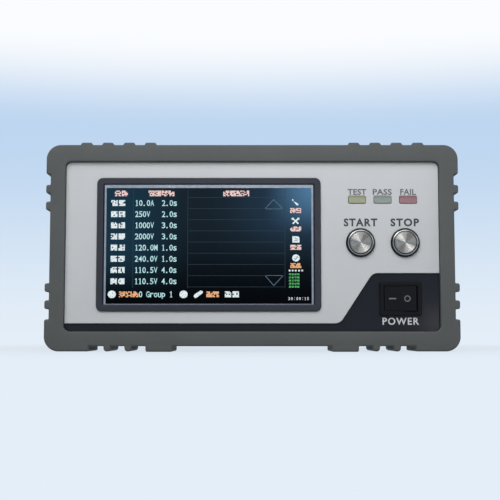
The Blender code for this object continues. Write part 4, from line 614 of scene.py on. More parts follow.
def evaluated(source):
    """Plain mesh of an object with its modifiers worked out. The source is removed."""
    bpy.context.view_layer.update()
    graph = bpy.context.evaluated_depsgraph_get()
    mesh = bpy.data.meshes.new_from_object(source.evaluated_get(graph), depsgraph=graph)
    bpy.data.objects.remove(source)
    return mesh


def mesh_from(bm):
    """Smooth mesh from a bmesh, which is freed."""
    mesh = bpy.data.meshes.new("made")
    bm.to_mesh(mesh)
    bm.free()
    mesh.shade_smooth()
    return mesh


def mesh_of(bm, smooth_angle=30):
    """Mesh from a bmesh, its faces turned outwards and smooth up to an angle."""
    bmesh.ops.recalc_face_normals(bm, faces=bm.faces)
    mesh = mesh_from(bm)
    mesh.set_sharp_from_angle(angle=math.radians(smooth_angle))
    return mesh


def front_of(node, x, z):
    """Place and normal where a line along +Y first meets a built solid."""
    mesh = nodes[node].data
    corners = [vertex.co for vertex in mesh.vertices]
    faces = BVHTree.FromPolygons(corners, [face.vertices for face in mesh.polygons])
    spot, normal, _, _ = faces.ray_cast(Vector((x, cad_low.y - 1, z)), Vector((0, 1, 0)))
    return spot, normal


def facing_to(direction):
    """Matrix that turns what faces -Y to face a direction."""
    return Vector((0, -1, 0)).rotation_difference(Vector(direction)).to_matrix().to_4x4()


print("the fascia's front is at y", round(front_of("fascia_plate", 0, 0.14)[0].y, 4))

# %% Softened copies
JOIN = 0.000001
BEVEL_ANGLE = math.radians(32)


def modify(source, kind, **settings):
    """Adds a modifier with its settings."""
    modifier = source.modifiers.new(kind.lower(), kind)
    for name, value in settings.items():
        setattr(modifier, name, value)


def softened(node, finish, width, segments=3):
    """Copy of a built solid with rounded edges, which stands for it."""
    bm = bmesh.new()
    bm.from_mesh(nodes[node].data)
    bmesh.ops.remove_doubles(bm, verts=bm.verts, dist=JOIN)
    bmesh.ops.dissolve_limit(bm, angle_limit=math.radians(1), verts=bm.verts, edges=bm.edges)
    source = placed(node + "_source", mesh_from(bm))
    modify(source, "BEVEL", width=width, segments=segments, limit_method="ANGLE", angle_limit=BEVEL_ANGLE,
           use_clamp_overlap=True)
    modify(source, "WEIGHTED_NORMAL", weight=50)
    body = nodes[node]["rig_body"]
    return dressed(node + "_moulding", evaluated(source), finish, slots[node], node, body=body)


print("edges sharper than", round(math.degrees(BEVEL_ANGLE)), "degrees are rounded")


# %% Outlines
def outline_through(corners, arc):
    """Outline through corners (x, z, radius). Each corner is rounded by an arc with a step of about `arc`."""
    points = []
    for index, (x, z, radius) in enumerate(corners):
        corner = Vector((x, z))
        before = (Vector(corners[index - 1][:2]) - corner).normalized()
        after = (Vector(corners[(index + 1) % len(corners)][:2]) - corner).normalized()
        half_angle = before.angle(after) / 2
        centre = corner + (before + after).normalized() * radius / math.sin(half_angle)
        first = corner + before * radius / math.tan(half_angle) - centre
        turn = math.pi - 2 * half_angle
        if before.cross(after) > 0:
            turn = -turn
        steps = max(3, math.ceil(radius * abs(turn) / arc))
        points += [centre + Matrix.Rotation(turn * step / steps, 2) @ first for step in range(steps + 1)]
    return points


def rounded(left, bottom, right, top, corner, arc):
    """Outline of a rounded rectangle."""
    return outline_through([(left, bottom, corner), (right, bottom, corner), (right, top, corner),
                            (left, top, corner)], arc)


def moved_in(outline, distance):
    """Counter-clockwise outline moved inwards, mitred at its corners."""
    moved = []
    for index, here in enumerate(outline):
        arriving = (here - outline[index - 1]).normalized()
        leaving = (outline[(index + 1) % len(outline)] - here).normalized()
        normal_in = Vector((-arriving.y, arriving.x))
        normal_out = Vector((-leaving.y, leaving.x))
        moved.append(here + (normal_in + normal_out) / (1 + normal_in.dot(normal_out)) * distance)
    return moved


print("a filleted square has", len(rounded(0, 0, 1, 1, 0.2, 0.05)), "points")


# %% Solids
def skinned(bm, rings):
    """Faces between rings of equal length, each to the next."""
    for near, far in zip(rings, rings[1:]):
        for index in range(len(near)):
            after = (index + 1) % len(near)
            bm.faces.new(list(dict.fromkeys((near[index], near[after], far[after], far[index]))))
    return rings


def loft(bm, sections):
    """Skin through outlines of equal length, each (outline, y)."""
    rings = [[bm.verts.new((point.x, y, point.y)) for point in outline] for outline, y in sections]
    return skinned(bm, rings)


def filled(bm, *rings):
    """Fills the flat face between closed rings."""
    edges = [bm.edges.get((vertex, ring[index - 1])) for ring in rings for index, vertex in enumerate(ring)]
    bmesh.ops.triangle_fill(bm, use_beauty=True, edges=edges)


def on_circle(centre, radius, angle):
    return centre[0] + radius * math.cos(angle), centre[1] + radius * math.sin(angle)


def lathe(bm, profile, centre=(0, 0), sides=64):
    """Solid turned about an axis along Y, through profile points (radius, y)."""
    angles = [FULL_TURN * side / sides for side in range(sides)]
    rings = []
    for radius, y in profile:
        if radius == 0:
            rings.append([bm.verts.new((centre[0], y, centre[1]))] * sides)
        else:
            circle = [on_circle(centre, radius, angle) for angle in angles]
            rings.append([bm.verts.new((x, y, z)) for x, z in circle])
    if profile[0][0] != 0:
        rings.append(rings[0])
    skinned(bm, rings)


def box_in(bm, low, high):
    """Adds a block between two corners."""
    size = Vector(high) - Vector(low)
    place = Matrix.Translation((Vector(high) + Vector(low)) / 2) @ Matrix.Diagonal((*size, 1))
    bmesh.ops.create_cube(bm, size=1, matrix=place)


trial = bmesh.new()
lathe(trial, [(0, 0), (1, 0), (1, 1), (0, 1)], sides=12)
print("a turned cylinder has", len(trial.faces), "faces")
trial.free()

# %% [markdown]
# ## Repeats
#
# Screws, contacts, screen dots, lens ribs and winding turns are one shape many times. A Geometry Nodes tree
# repeats a template: on given points, round an axis, or along a line. The sizes are the tree's named inputs,
# and anything random has a seed. Each tree ends in Realize Instances and Set Material, and the evaluated
# result is kept as a plain mesh, so nothing depends on the modifier afterwards.

# %% Patterns
class Pattern(Tree):
    """A Geometry Nodes tree with named inputs, which copies a template."""

    def __init__(self, name, **inputs):
        super().__init__(bpy.data.node_groups.new(name, "GeometryNodeTree"))
        sides = self.tree.interface
        sides.new_socket("Copies", in_out="OUTPUT", socket_type="NodeSocketGeometry")
        kinds = {"Points": "Geometry", **inputs, "Template": "Object", "Surface": "Material"}
        self.ends = {label: sides.new_socket(label, in_out="INPUT", socket_type="NodeSocket" + kind)
                     for label, kind in kinds.items()}
        self.given = self.tree.nodes.new("NodeGroupInput")

    def take(self, label):
        return Wire(self, found(self.given.outputs, self.ends[label].identifier))

    def close(self, points, **sockets):
        """Copies the template to the points as plain faces of one material, and ends the tree."""
        template = self.add("GeometryNodeObjectInfo", None, {"Object": self.take("Template")}, "Geometry")
        placing = {"Points": points, "Instance": template, **sockets}
        plain = self.add("GeometryNodeRealizeInstances", None,
                         {"Geometry": self.add("GeometryNodeInstanceOnPoints", None, placing)})
        painting = {"Geometry": plain, "Material": self.take("Surface")}
        done = self.add("GeometryNodeSetMaterial", None, painting)
        self.tree.links.new(done.socket, self.tree.nodes.new("NodeGroupOutput").inputs[0])

    def grow(self, name, template, finish, points=((0, 0, 0),), **values):
        """Plain mesh of the copies. Every input is set before the object is first worked out."""
        base = bpy.data.meshes.new(name + "_points")
        base.from_pydata(points, [], [])
        source, stamp = placed(name + "_points", base), placed(name + "_template", template)
        growth = source.modifiers.new("pattern", "NODES")
        growth.node_group = self.tree
        for label, value in {**values, "Template": stamp, "Surface": finish.material}.items():
            growth[self.ends[label].identifier] = value
        mesh = evaluated(source)
        bpy.data.objects.remove(stamp)
        return mesh


print("a pattern knows:", [name for name in vars(Pattern) if not name.startswith("_")])

# %% Copies at points, round an axis and in a line
at_points = Pattern("copies_at_points", Axis="Vector", Freedom="Float", Share="Float", Seed="Int")
draw = at_points.add("FunctionNodeRandomValue", {"data_type": "FLOAT"},
                     {"Min_001": 0.0, "Max_001": FULL_TURN, "Seed": at_points.take("Seed")}, "Value_001")
kept = at_points.add("FunctionNodeRandomValue", {"data_type": "BOOLEAN"},
                     {"Probability": at_points.take("Share"), "Seed": at_points.take("Seed")}, "Value_003")
spin = at_points.add("FunctionNodeAxisAngleToRotation", None,
                     {"Axis": at_points.take("Axis"), "Angle": draw * at_points.take("Freedom")})
at_points.close(at_points.take("Points"), Selection=kept, Rotation=spin)

round_axis = Pattern("copies_round_axis", Count="Int", Middle="Vector")
start = round_axis.add("GeometryNodeMeshLine", {"mode": "OFFSET"},
                       {"Count": round_axis.take("Count"), "Start Location": round_axis.take("Middle"),
                        "Offset": (0, 0, 0)})
turn = round_axis.add("GeometryNodeInputIndex") * FULL_TURN / round_axis.take("Count")
spin = round_axis.add("FunctionNodeAxisAngleToRotation", None, {"Axis": (0, 0, 1), "Angle": turn})
round_axis.close(start, Rotation=spin)

in_line = Pattern("copies_in_line", Count="Int", Start="Vector", Step="Vector")
in_line.close(in_line.add("GeometryNodeMeshLine", {"mode": "OFFSET"},
                          {"Count": in_line.take("Count"), "Start Location": in_line.take("Start"),
                           "Offset": in_line.take("Step")}))
print("patterns:", [group.name for group in bpy.data.node_groups])

# %% [markdown]
# ## Bumpers
#
# Each bumper is one moulding that slips over an end of the case: a ring with feet below, trapezoid ribs above
# and rounded ribs at the sides, all extruded along the depth, with a lip that hides the panel's edge. Its
# outline is a rule: corners with a fillet each, mirrored left to right. The front edge is rolled over with a
# true quarter round, which draws the thin bright line round the instrument. A fillet that is at least as
# large as that roll keeps the rolled outline from crossing itself.

# %% Bumper outline
EDGE_ROLL = 0.0013
ARC_STEP = 0.0005
HOLLOW = 0.0006
SIDE_HOLLOW = 0.0007
GAP = 0.0003
FOOT_HEIGHT = 0.0042
FOOT_X = (0.0595, 0.0796)
LOW_RIB_X = (0.0926, 0.1082)
LOW_RIB_WIDTH = 0.0053
PAD_X = 0.1219
RUBBER_CORNER = 0.0110
SIDE_RIB_Z = (0.0351, 0.0479, 0.1095, 0.1222)
SIDE_RIB_WIDTH = 0.0066
SIDE_RIB_ROUND = 0.0016
SIDE_RIB_HEIGHT = 0.0033
LOW_PAD_TOP = 0.0242
HIGH_PAD_BOTTOM = 0.1334
TOP_RIB_X = (0.1252, 0.1091, 0.0930, 0.0769)
TOP_RIB_BASE = 0.0094
TOP_RIB_CREST = 0.0071
TOP_RIB_HEIGHT = 0.0018

rubber_reach = cad_high.x
rubber_half = rubber_reach - SIDE_RIB_HEIGHT
rubber_top = cad_high.z - TOP_RIB_HEIGHT


def bumper_corners():
    """Right half of the outline from the middle below to the middle above, then its mirror image."""
    right = [(FOOT_X[0], FOOT_HEIGHT, HOLLOW), (FOOT_X[0], 0, EDGE_ROLL), (FOOT_X[1], 0, EDGE_ROLL),
             (FOOT_X[1], FOOT_HEIGHT, HOLLOW)]
    for x in LOW_RIB_X:
        left_x, right_x = x - LOW_RIB_WIDTH / 2, x + LOW_RIB_WIDTH / 2
        rib_round = LOW_RIB_WIDTH * 0.45
        right += [(left_x, FOOT_HEIGHT, HOLLOW), (left_x, GAP, rib_round),
                  (right_x, GAP, rib_round), (right_x, FOOT_HEIGHT, HOLLOW)]
    right += [(PAD_X, FOOT_HEIGHT, HOLLOW), (PAD_X, GAP, EDGE_ROLL), (rubber_reach, GAP, RUBBER_CORNER),
              (rubber_reach, LOW_PAD_TOP, SIDE_RIB_ROUND), (rubber_half, LOW_PAD_TOP, SIDE_HOLLOW)]
    for z in SIDE_RIB_Z:
        low_z, high_z = z - SIDE_RIB_WIDTH / 2, z + SIDE_RIB_WIDTH / 2
        right += [(rubber_half, low_z, SIDE_HOLLOW), (rubber_reach, low_z, SIDE_RIB_ROUND),
                  (rubber_reach, high_z, SIDE_RIB_ROUND), (rubber_half, high_z, SIDE_HOLLOW)]
    right += [(rubber_half, HIGH_PAD_BOTTOM, SIDE_HOLLOW), (rubber_reach, HIGH_PAD_BOTTOM, SIDE_RIB_ROUND),
              (rubber_reach, rubber_top, RUBBER_CORNER)]
    for x in TOP_RIB_X:
        right += [(x + TOP_RIB_BASE / 2, rubber_top, HOLLOW), (x + TOP_RIB_CREST / 2, cad_high.z, EDGE_ROLL),
                  (x - TOP_RIB_CREST / 2, cad_high.z, EDGE_ROLL), (x - TOP_RIB_BASE / 2, rubber_top, HOLLOW)]
    return right + [(-x, z, radius) for x, z, radius in reversed(right)]


bumper_outline = outline_through(bumper_corners(), ARC_STEP)
print("bumper outline:", len(bumper_outline), "points")

# %% Bumpers
ROLL_STEPS = 5
LIP_ROLL = 0.0009
FASCIA_MARGIN = 0.0003
OPENING_BOTTOM = 0.0151
OPENING_CORNER = 0.0045
CASE_CORNER = 0.0030
FRONT_LIP = 0.0042
REAR_LIP = 0.0130


def opening(low, high, corner, margin):
    """Rounded rectangle round a box seen from the front, grown by a margin."""
    return rounded(low.x - margin, low.z - margin, high.x + margin, high.z + margin, corner, ARC_STEP)


def rolled(outline, y, inwards, radius, outside):
    """Sections of a quarter round that turns an end face at y into a wall."""
    sections = []
    for step in range(ROLL_STEPS + 1):
        angle = math.pi / 2 * step / ROLL_STEPS
        set_in = radius * (1 - math.sin(angle))
        depth = radius * (1 - math.cos(angle))
        sections.append((moved_in(outline, set_in if outside else -set_in), y + inwards * depth))
    return sections


fascia_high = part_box("fascia_plate")[1]
reach = fascia_high.x + FASCIA_MARGIN
hole = rounded(-reach, OPENING_BOTTOM, reach, fascia_high.z + FASCIA_MARGIN, OPENING_CORNER, ARC_STEP)
cavity = opening(*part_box("rear_panel"), CASE_CORNER + GAP, GAP)


def rubber_bumper(node, end_y, inwards, lip):
    """Ring round one end of the case, with a rolled outer edge and a rolled lip."""
    low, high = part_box(node)
    back_y = high.y if inwards > 0 else low.y
    lip_y = end_y + inwards * lip
    bm = bmesh.new()
    outer = loft(bm, rolled(bumper_outline, end_y, inwards, EDGE_ROLL, True) + [(bumper_outline, back_y)])
    inner = loft(bm, rolled(hole, end_y, inwards, LIP_ROLL, False) + [(hole, lip_y)])
    pocket = loft(bm, [(cavity, lip_y), (cavity, back_y)])
    filled(bm, outer[0], inner[0])
    filled(bm, inner[-1], pocket[0])
    filled(bm, outer[-1], pocket[-1])
    return dressed(node + "_rubber", mesh_of(bm, smooth_angle=40), rubber, slots[node], node)


bumpers = [rubber_bumper("front_bumper", cad_low.y, 1, FRONT_LIP),
           rubber_bumper("rear_bumper", cad_high.y, -1, REAR_LIP)]
print("bumper faces:", [len(bumper.data.polygons) for bumper in bumpers])

# %% [markdown]
# ## Front and display housings
#
# The fascia, the bezel and the switch frame are right as built, apart from their edges. A copy with a small
# bevel replaces each, and weighted normals keep the large faces flat in their shading. The metal rim of the
# display shows as a thin silver line inside the bezel. Beyond that line the rim is painted dark, a painted
# shadow of the bezel's wall.

# %% Front mouldings
softened("fascia_plate", fascia_paint, 0.00025)
softened("front_panel", dark_gloss, 0.0003)
softened("display_bezel", bezel_plastic, 0.00045)
softened("display_frame", screen_rim, 0.00010, segments=2)
softened("power_switch_body", switch_plastic, 0.0003)
softened("power_rocker", switch_plastic, 0.0005)
for name, finish in lenses.items():
    softened(name, finish, 0.0002, segments=2)

# %% [markdown]
# ## Lens ribs
#
# A lamp lens has upright ribs that spread the light of one small diode over its width. They are half-round
# bars, too fine for the construction model: a row of copies along a line.

# %% Lens ribs
RIB_PITCH = 0.0009
RIB_RADIUS = 0.00038
RIB_PROUD = 0.00022
RIB_STEPS = 6
LENS_SIZE = (0.0129, 0.0054)
LENS_MARGIN = 0.0003
RIB_COUNT = int(LENS_SIZE[0] / RIB_PITCH) - 1


def rib_template():
    """Upright half-round bar whose flat back is at y 0."""
    bm = bmesh.new()
    half = LENS_SIZE[1] / 2 - LENS_MARGIN
    angles = [math.pi * step / RIB_STEPS for step in range(RIB_STEPS + 1)]
    bar = [(RIB_RADIUS * math.cos(angle), -RIB_PROUD * math.sin(angle)) for angle in angles]
    rows = [[bm.verts.new((x, y, z)) for x, y in bar] for z in (-half, half)]
    skinned(bm, rows)
    for row in rows:
        bm.faces.new(row)
    return mesh_of(bm, smooth_angle=50)


lens_rib = rib_template()
for name, finish in lenses.items():
    low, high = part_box(name)
    middle = (low + high) / 2
    first = (middle.x - RIB_PITCH * (RIB_COUNT - 1) / 2, low.y, middle.z)
    ribs = in_line.grow(name + "_ribs", lens_rib, finish, Count=RIB_COUNT, Start=first,
                        Step=(RIB_PITCH, 0, 0))
    dressed(name + "_ribs", ribs, finish, slots[name])
print("ribs on a lens:", RIB_COUNT)

# %% [markdown]
# ## Push buttons
#
# Each button is a turned steel ring round a spun cap. The ring has a rounded crest and a groove that reads as
# a thin dark line. The cap's face carries fine concentric grooves with flanks of equal slope: each flank
# mirrors the lamp at the upper left only where it faces halfway to it, which lights two opposite sectors.
# Both are lathe work in reality, so a profile turned about the button's axis is the natural way to make them.

# %% Push buttons
BORE_RADIUS = 0.00865
BARREL_RADIUS = 0.0095
FLANGE_RADIUS = 0.0110
FLANGE_DEPTH = 0.0024
RING_PROFILE = ((0.00865, 0.0004), (0.00877, 0.00012), (0.00895, 0), (0.00925, 0.00006), (0.00955, 0.0003),
                (0.00985, 0.00055), (0.0102, 0.0007), (0.0106, 0.0010), (0.01088, 0.0014), (0.0110, 0.0018))
CAP_RADIUS = 0.00835
CAP_EDGE = ((0.00835, 0.0006), (0.00823, 0.00022), (0.00795, 0.00004))
GROOVED_RADIUS = 0.0077
GROOVE_COUNT = 16
GROOVE_SLOPE = 0.52
FLANK = GROOVED_RADIUS / (2 * GROOVE_COUNT)


def turned(node, centre, profile, finish, sides=64):
    """Lathe work on an axis along Y, which stands for a built solid."""
    bm = bmesh.new()
    lathe(bm, profile, (centre.x, centre.z), sides)
    mesh = mesh_of(bm, smooth_angle=40)
    dressed(node + "_turned", mesh, finish, slots[node], node, body=nodes[node]["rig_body"])


for name, centre in zip(BUTTONS, button_centres):
    low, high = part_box(name + "_housing")
    seat = low.y + FLANGE_DEPTH
    profile = [(BORE_RADIUS, high.y)] + [(radius, low.y + depth) for radius, depth in RING_PROFILE]
    profile += [(FLANGE_RADIUS, seat), (BARREL_RADIUS, seat), (BARREL_RADIUS, high.y)]
    turned(name + "_housing", centre, profile, button_steel)
    low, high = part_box(name + "_cap")
    profile = [(0, high.y), (CAP_RADIUS, high.y)] + [(radius, low.y + depth) for radius, depth in CAP_EDGE]
    profile += [(FLANK * (2 * GROOVE_COUNT - index), low.y + (index % 2) * FLANK * GROOVE_SLOPE)
                for index in range(2 * GROOVE_COUNT + 1)]
    turned(name + "_cap", centre, profile, spun_steel, sides=96)
print("buttons:", BUTTONS)

# %% [markdown]
# ## Lettering
#
# Print is a film of ink a few hundredths of a millimetre thick. A text object gives its outlines, which are
# turned into a mesh, stood upright and set to the height and width of the real print. Only plain function
# words and numbers are printed. Where each word goes in depth is asked of the solid that carries it.

# %% Lettering helpers
INK_THICKNESS = 0.00004


def word(bm, text, x, z, height, width, y, weight, spread=1.0):
    """Adds a word, centred at x and z on the plane y and facing -Y, to a bmesh."""
    curve = bpy.data.curves.new("word", "FONT")
    curve.body = text
    curve.offset = weight
    curve.space_character = spread
    curve.resolution_u = 3
    curve.fill_mode = "FRONT"
    mesh = evaluated(placed("word", curve))
    bpy.data.curves.remove(curve)
    across = [vertex.co.x for vertex in mesh.vertices]
    upward = [vertex.co.y for vertex in mesh.vertices]
    wide, tall = max(across) - min(across), max(upward) - min(upward)
    centre = Vector(((max(across) + min(across)) / 2, (max(upward) + min(upward)) / 2, 0))
    scale = Matrix.Diagonal((width / wide, height / tall, 1, 1))
    stand = Matrix(((1, 0, 0, x), (0, 0, -1, y), (0, 1, 0, z), (0, 0, 0, 1)))
    mesh.transform(stand @ scale @ Matrix.Translation(-centre))
    bm.from_mesh(mesh)
    bpy.data.meshes.remove(mesh)


def raised_print(bm):
    """Gives flat print its thickness and returns the mesh."""
    bmesh.ops.remove_doubles(bm, verts=bm.verts, dist=JOIN)
    for face in bm.faces:
        if face.normal.y > 0:
            face.normal_flip()
    sides = bmesh.ops.extrude_face_region(bm, geom=bm.faces[:])
    front = [item for item in sides["geom"] if isinstance(item, bmesh.types.BMVert)]
    bmesh.ops.translate(bm, verts=front, vec=(0, -INK_THICKNESS, 0))
    return mesh_of(bm, smooth_angle=20)


def ink(name, dark, light):
    """Screen-printed ink: nearly even, with slight pinholes."""
    finish = Finish(name)
    return finish.skin(dark, light, finish.noise(0.0008), 0.45 + 0.1 * finish.noise(0.002))


grey_ink = ink("grey_ink", tone(76, 77, 80), tone(92, 93, 96))
dark_ink = ink("dark_ink", tone(40, 40, 43), tone(54, 54, 57))
light_ink = ink("light_ink", tone(196, 196, 204), tone(212, 212, 220))
mark_ink = ink("mark_ink", tone(102, 104, 110), tone(118, 120, 126))
print("inks:", [made.material.name for made in (grey_ink, dark_ink, light_ink, mark_ink)])

# %% Front print
# Each print has its solid, ink, height above the floor, height of letters, their weight and spread, and its
# words, each with its middle and width.
PRINTS = {"lamp_print": ("fascia_plate", grey_ink, 0.1204, 0.0046, (0.027, 1.05),
                         (("TEST", 0.0793, 0.0142), ("PASS", 0.0984, 0.0144), ("FAIL", 0.1179, 0.0118))),
          "button_print": ("fascia_plate", dark_ink, 0.0972, 0.0061, (0.038, 1.18),
                           (("START", 0.0818, 0.0254), ("STOP", 0.1152, 0.0216))),
          "power_print": ("front_panel", light_ink, 0.0228, 0.0054, (0.020, 1.18),
                          (("POWER", 0.11145, 0.0274),))}

for name, (node, finish, z, height, letters, words) in PRINTS.items():
    bm = bmesh.new()
    for text, x, width in words:
        word(bm, text, x, z, height, width, front_of(node, x, z)[0].y, *letters)
    dressed(name, raised_print(bm), finish, slots[node])
    print(name, [text for text, *_ in words])

# %% [markdown]
# ## Marks on the rocker
#
# The rocker carries a bar for on and a ring for off. They lie on its two slanted halves and ride with it.
# Each is drawn flat at the origin and then laid on the face, whose place and normal a ray finds.

# %% Rocker marks
MARK_Z = 0.0397
BAR_X = 0.10525
BAR_HALF = (0.00265, 0.00045)
RING_X = 0.1162
RING_INNER = 0.0017
RING_OUTER = 0.0023


def laid_on_rocker(name, bm, x):
    """Turns a mark that faces -Y at the origin to lie on the rocker."""
    spot, normal = front_of("power_rocker", x, MARK_Z)
    mesh = mesh_of(bm)
    mesh.transform(Matrix.Translation(spot) @ facing_to(normal))
    dressed(name, mesh, mark_ink, slots["power_rocker"], body="rocker")
    print(name, "at", [round(value, 4) for value in spot])


bm = bmesh.new()
box_in(bm, (-BAR_HALF[0], -INK_THICKNESS, -BAR_HALF[1]), (BAR_HALF[0], 0, BAR_HALF[1]))
laid_on_rocker("rocker_bar", bm, BAR_X)
bm = bmesh.new()
section = [(RING_INNER, 0), (RING_INNER, -INK_THICKNESS), (RING_OUTER, -INK_THICKNESS), (RING_OUTER, 0)]
lathe(bm, section, sides=40)
laid_on_rocker("rocker_ring", bm, RING_X)

# %% [markdown]
# ## Screen graphics
#
# The picture is laid out in the screen's own dots, 800 across and 480 down, and each shape is a lit film on
# the glass. Headings are tiles of blocky cells: a grid of points, of which a seeded draw keeps some, each
# with a square copied on it. The values are invented plain numbers with their units, typed at an even pitch.

# %% Drawing in dots
screen_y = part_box("touch_screen")[0].y


def dot(column, row):
    """Place of a dot on the glass."""
    return Vector((screen_left + column * DOT[0], screen_y, screen_top - row * DOT[1]))


def shape(bm, corners):
    """Flat lit shape through corners given in dots."""
    bm.faces.new([bm.verts.new(dot(column, row)) for column, row in corners])


def line(bm, start, end, width):
    """Lit line between two dots."""
    start, end = Vector(start), Vector(end)
    way = end - start
    side = Vector((-way.y, way.x)).normalized() * width / 2
    shape(bm, [start + side, end + side, end - side, start - side])


def disc(bm, column, row, radius, sides=20):
    shape(bm, [on_circle((column, row), radius, FULL_TURN * side / sides) for side in range(sides)])


def drawn(name, bm, colour):
    """Makes a piece of what was drawn."""
    dressed(name, raised_print(bm), glows[colour], "screen_glass")


# %% Typed characters
# A stroke has its start, end and width as shares of the height, from the middle of the character.
STROKES = {".": (((-0.16, 0.4), (0.04, 0.4), 0.2),),
           "1": (((0, -0.5), (0, 0.5), 0.13), ((-0.20, -0.28), (0, -0.44), 0.10),
                 ((-0.18, 0.45), (0.18, 0.45), 0.10))}
GLYPH_HEIGHT = 25
GLYPH_WIDTH = 0.54
GLYPH_WEIGHT = 0.012
NARROW = {":": 0.12}
SMALL_LETTERS = "srou"
SMALL_SHARE = 0.76
HANGING = "p"


def typed(bm, text, column, row, pitch, height=GLYPH_HEIGHT):
    """Characters on an even pitch, from the middle of the first one."""
    for index, letter in enumerate(text):
        middle = column + index * pitch
        for *ends, width in STROKES.get(letter, ()):
            start, end = [(middle + across * height, row + down * height) for across, down in ends]
            line(bm, start, end, width * height)
        if letter not in STROKES and letter != " ":
            tall = height * (SMALL_SHARE if letter in SMALL_LETTERS else 1)
            sunk = (height - tall) / 2 + (0.25 * height if letter in HANGING else 0)
            place = dot(middle, row + sunk)
            wide = height * NARROW.get(letter, GLYPH_WIDTH)
            word(bm, letter, place.x, place.z, tall * DOT[1], wide * DOT[0], screen_y, GLYPH_WEIGHT)


print("drawn with strokes:", sorted(STROKES))

# %% Tiles of cells
TILE_CELLS = 5


def tile_points(column, row, count, size, gap):
    """Cell places of a line of square tiles that starts at a dot."""
    cell = size / TILE_CELLS
    return [dot(column + tile * (size + gap) + cell * (across + 0.5), row - size / 2 + cell * (down + 0.5))
            for tile in range(count) for across in range(TILE_CELLS) for down in range(TILE_CELLS)]


def tiles(name, colour, share, seed, lines):
    """Lit tiles of blocky cells. Each line is (column, row, count, size, gap) in dots."""
    size = lines[0][3] / TILE_CELLS
    half_x, half_z = size * DOT[0] / 2, size * DOT[1] / 2
    bm = bmesh.new()
    box_in(bm, (-half_x, -INK_THICKNESS, -half_z), (half_x, 0, half_z))
    points = [point for entry in lines for point in tile_points(*entry)]
    mesh = at_points.grow(name, mesh_of(bm), glows[colour], points, Axis=(0, 1, 0), Freedom=0.0, Share=share,
                          Seed=seed)
    dressed(name, mesh, glows[colour], "screen_glass")
    print(name, "from", len(points), "cells")


# %% Table on the screen
ROW_TOP = 64
ROW_PITCH = 47.3
ROWS = (("10.0A", "2.0s"), ("250V", "2.0s"), ("1000V", "3.0s"), ("2000V", "3.0s"),
        ("120.0M", "1.0s"), ("240.0V", "1.0s"), ("110.5V", "4.0s"), ("110.5V", "4.0s"))
TYPE_PITCH = 15.1
VALUE_COLUMN = 117
TIME_COLUMN = 222
TABLE_COLUMNS = (103, 317, 698)
LINE_WIDTH = 1.6
ARROW_WIDTH = 2.4
row_middles = [ROW_TOP + ROW_PITCH * index for index in range(len(ROWS))]

tiles("heading_tiles", "pink", 0.76, 3, [(30, 23, 2, 24, 3), (162, 23, 4, 24, 2), (456, 23, 4, 24, 2)])
tiles("row_tiles", "white", 0.86, 8, [(16, row, 2, 25, 5) for row in row_middles])

bm = bmesh.new()
for (value, seconds), row in zip(ROWS, row_middles):
    typed(bm, value, VALUE_COLUMN, row, TYPE_PITCH)
    typed(bm, seconds, TIME_COLUMN, row, TYPE_PITCH)
drawn("table_values", bm, "cyan")

bm = bmesh.new()
for column in TABLE_COLUMNS:
    line(bm, (column, 6), (column, 424), LINE_WIDTH)
for index in range(len(ROWS) + 1):
    row = ROW_TOP + ROW_PITCH * (index - 0.5)
    line(bm, (TABLE_COLUMNS[1] + 2, row), (TABLE_COLUMNS[2] - 2, row), LINE_WIDTH)
drawn("table_lines", bm, "grid_line")

bm = bmesh.new()
for tip, base in ((49, 88), (413, 372)):
    inside = 1 if base > tip else -1
    line(bm, (654, tip), (621, base), ARROW_WIDTH)
    line(bm, (654, tip), (690, base), ARROW_WIDTH)
    line(bm, (625, base + inside), (686, base + inside), ARROW_WIDTH)
drawn("scroll_arrows", bm, "arrow_line")
print("rows of the table:", len(ROWS))

# %% Icons and status line
ICON_COLUMN = 740
CLOCK_PITCH = 10.5
CLOCK_HEIGHT = 12
bm = bmesh.new()
shape(bm, [(728, 46), (733, 51), (731, 56), (750, 66), (752, 74), (744, 73), (733, 58), (726, 52)])
for way in (1, -1):
    line(bm, (ICON_COLUMN - 11 * way, 130), (ICON_COLUMN + 11 * way, 152), 6)
    disc(bm, ICON_COLUMN - 11 * way, 131, 5)
shape(bm, [(727, 205), (749, 205), (755, 211), (755, 232), (727, 232)])
disc(bm, ICON_COLUMN + 1, 297, 15)
disc(bm, 22, 450, 16)
disc(bm, 302, 450, 16)
shape(bm, [(341, 458), (347, 466), (356, 462), (376, 445), (378, 437), (368, 434), (345, 450)])
drawn("screen_icons", bm, "white")

bm = bmesh.new()
for row in (216, 223):
    line(bm, (735, row), (748, row), ARROW_WIDTH)
line(bm, (733, 297), (739, 303), 3)
line(bm, (739, 303), (749, 291), 3)
bmesh.ops.translate(bm, verts=bm.verts, vec=(0, -INK_THICKNESS, 0))
drawn("icon_details", bm, "arrow_line")

tiles("icon_tiles", "pink", 0.74, 5, [(719, row, 2, 21, 1) for row in (96, 174, 252)])
tiles("store_tiles", "orange", 0.74, 6, [(719, 329, 2, 21, 1)])
tiles("status_tiles", "orange", 0.74, 7, [(50, 450, 3, 24, 2), (391, 450, 2, 24, 1)])
tiles("state_tiles", "white", 0.74, 9, [(463, 450, 2, 25, 5)])
tiles("memory_tiles", "green", 0.78, 2, [(713, row, 4, 8, 3) for row in (366, 379, 392, 405, 418)])

bm = bmesh.new()
typed(bm, "0", 134, 450, TYPE_PITCH)
typed(bm, "Group 1", 163, 450, TYPE_PITCH)
drawn("status_text", bm, "cyan")
bm = bmesh.new()
for column in (716, 728, 740, 753, 765):
    disc(bm, column, 350, 4, sides=10)
typed(bm, "30:00:15", 714, 468, CLOCK_PITCH, CLOCK_HEIGHT)
drawn("step_dots", bm, "white")
print("status line drawn")

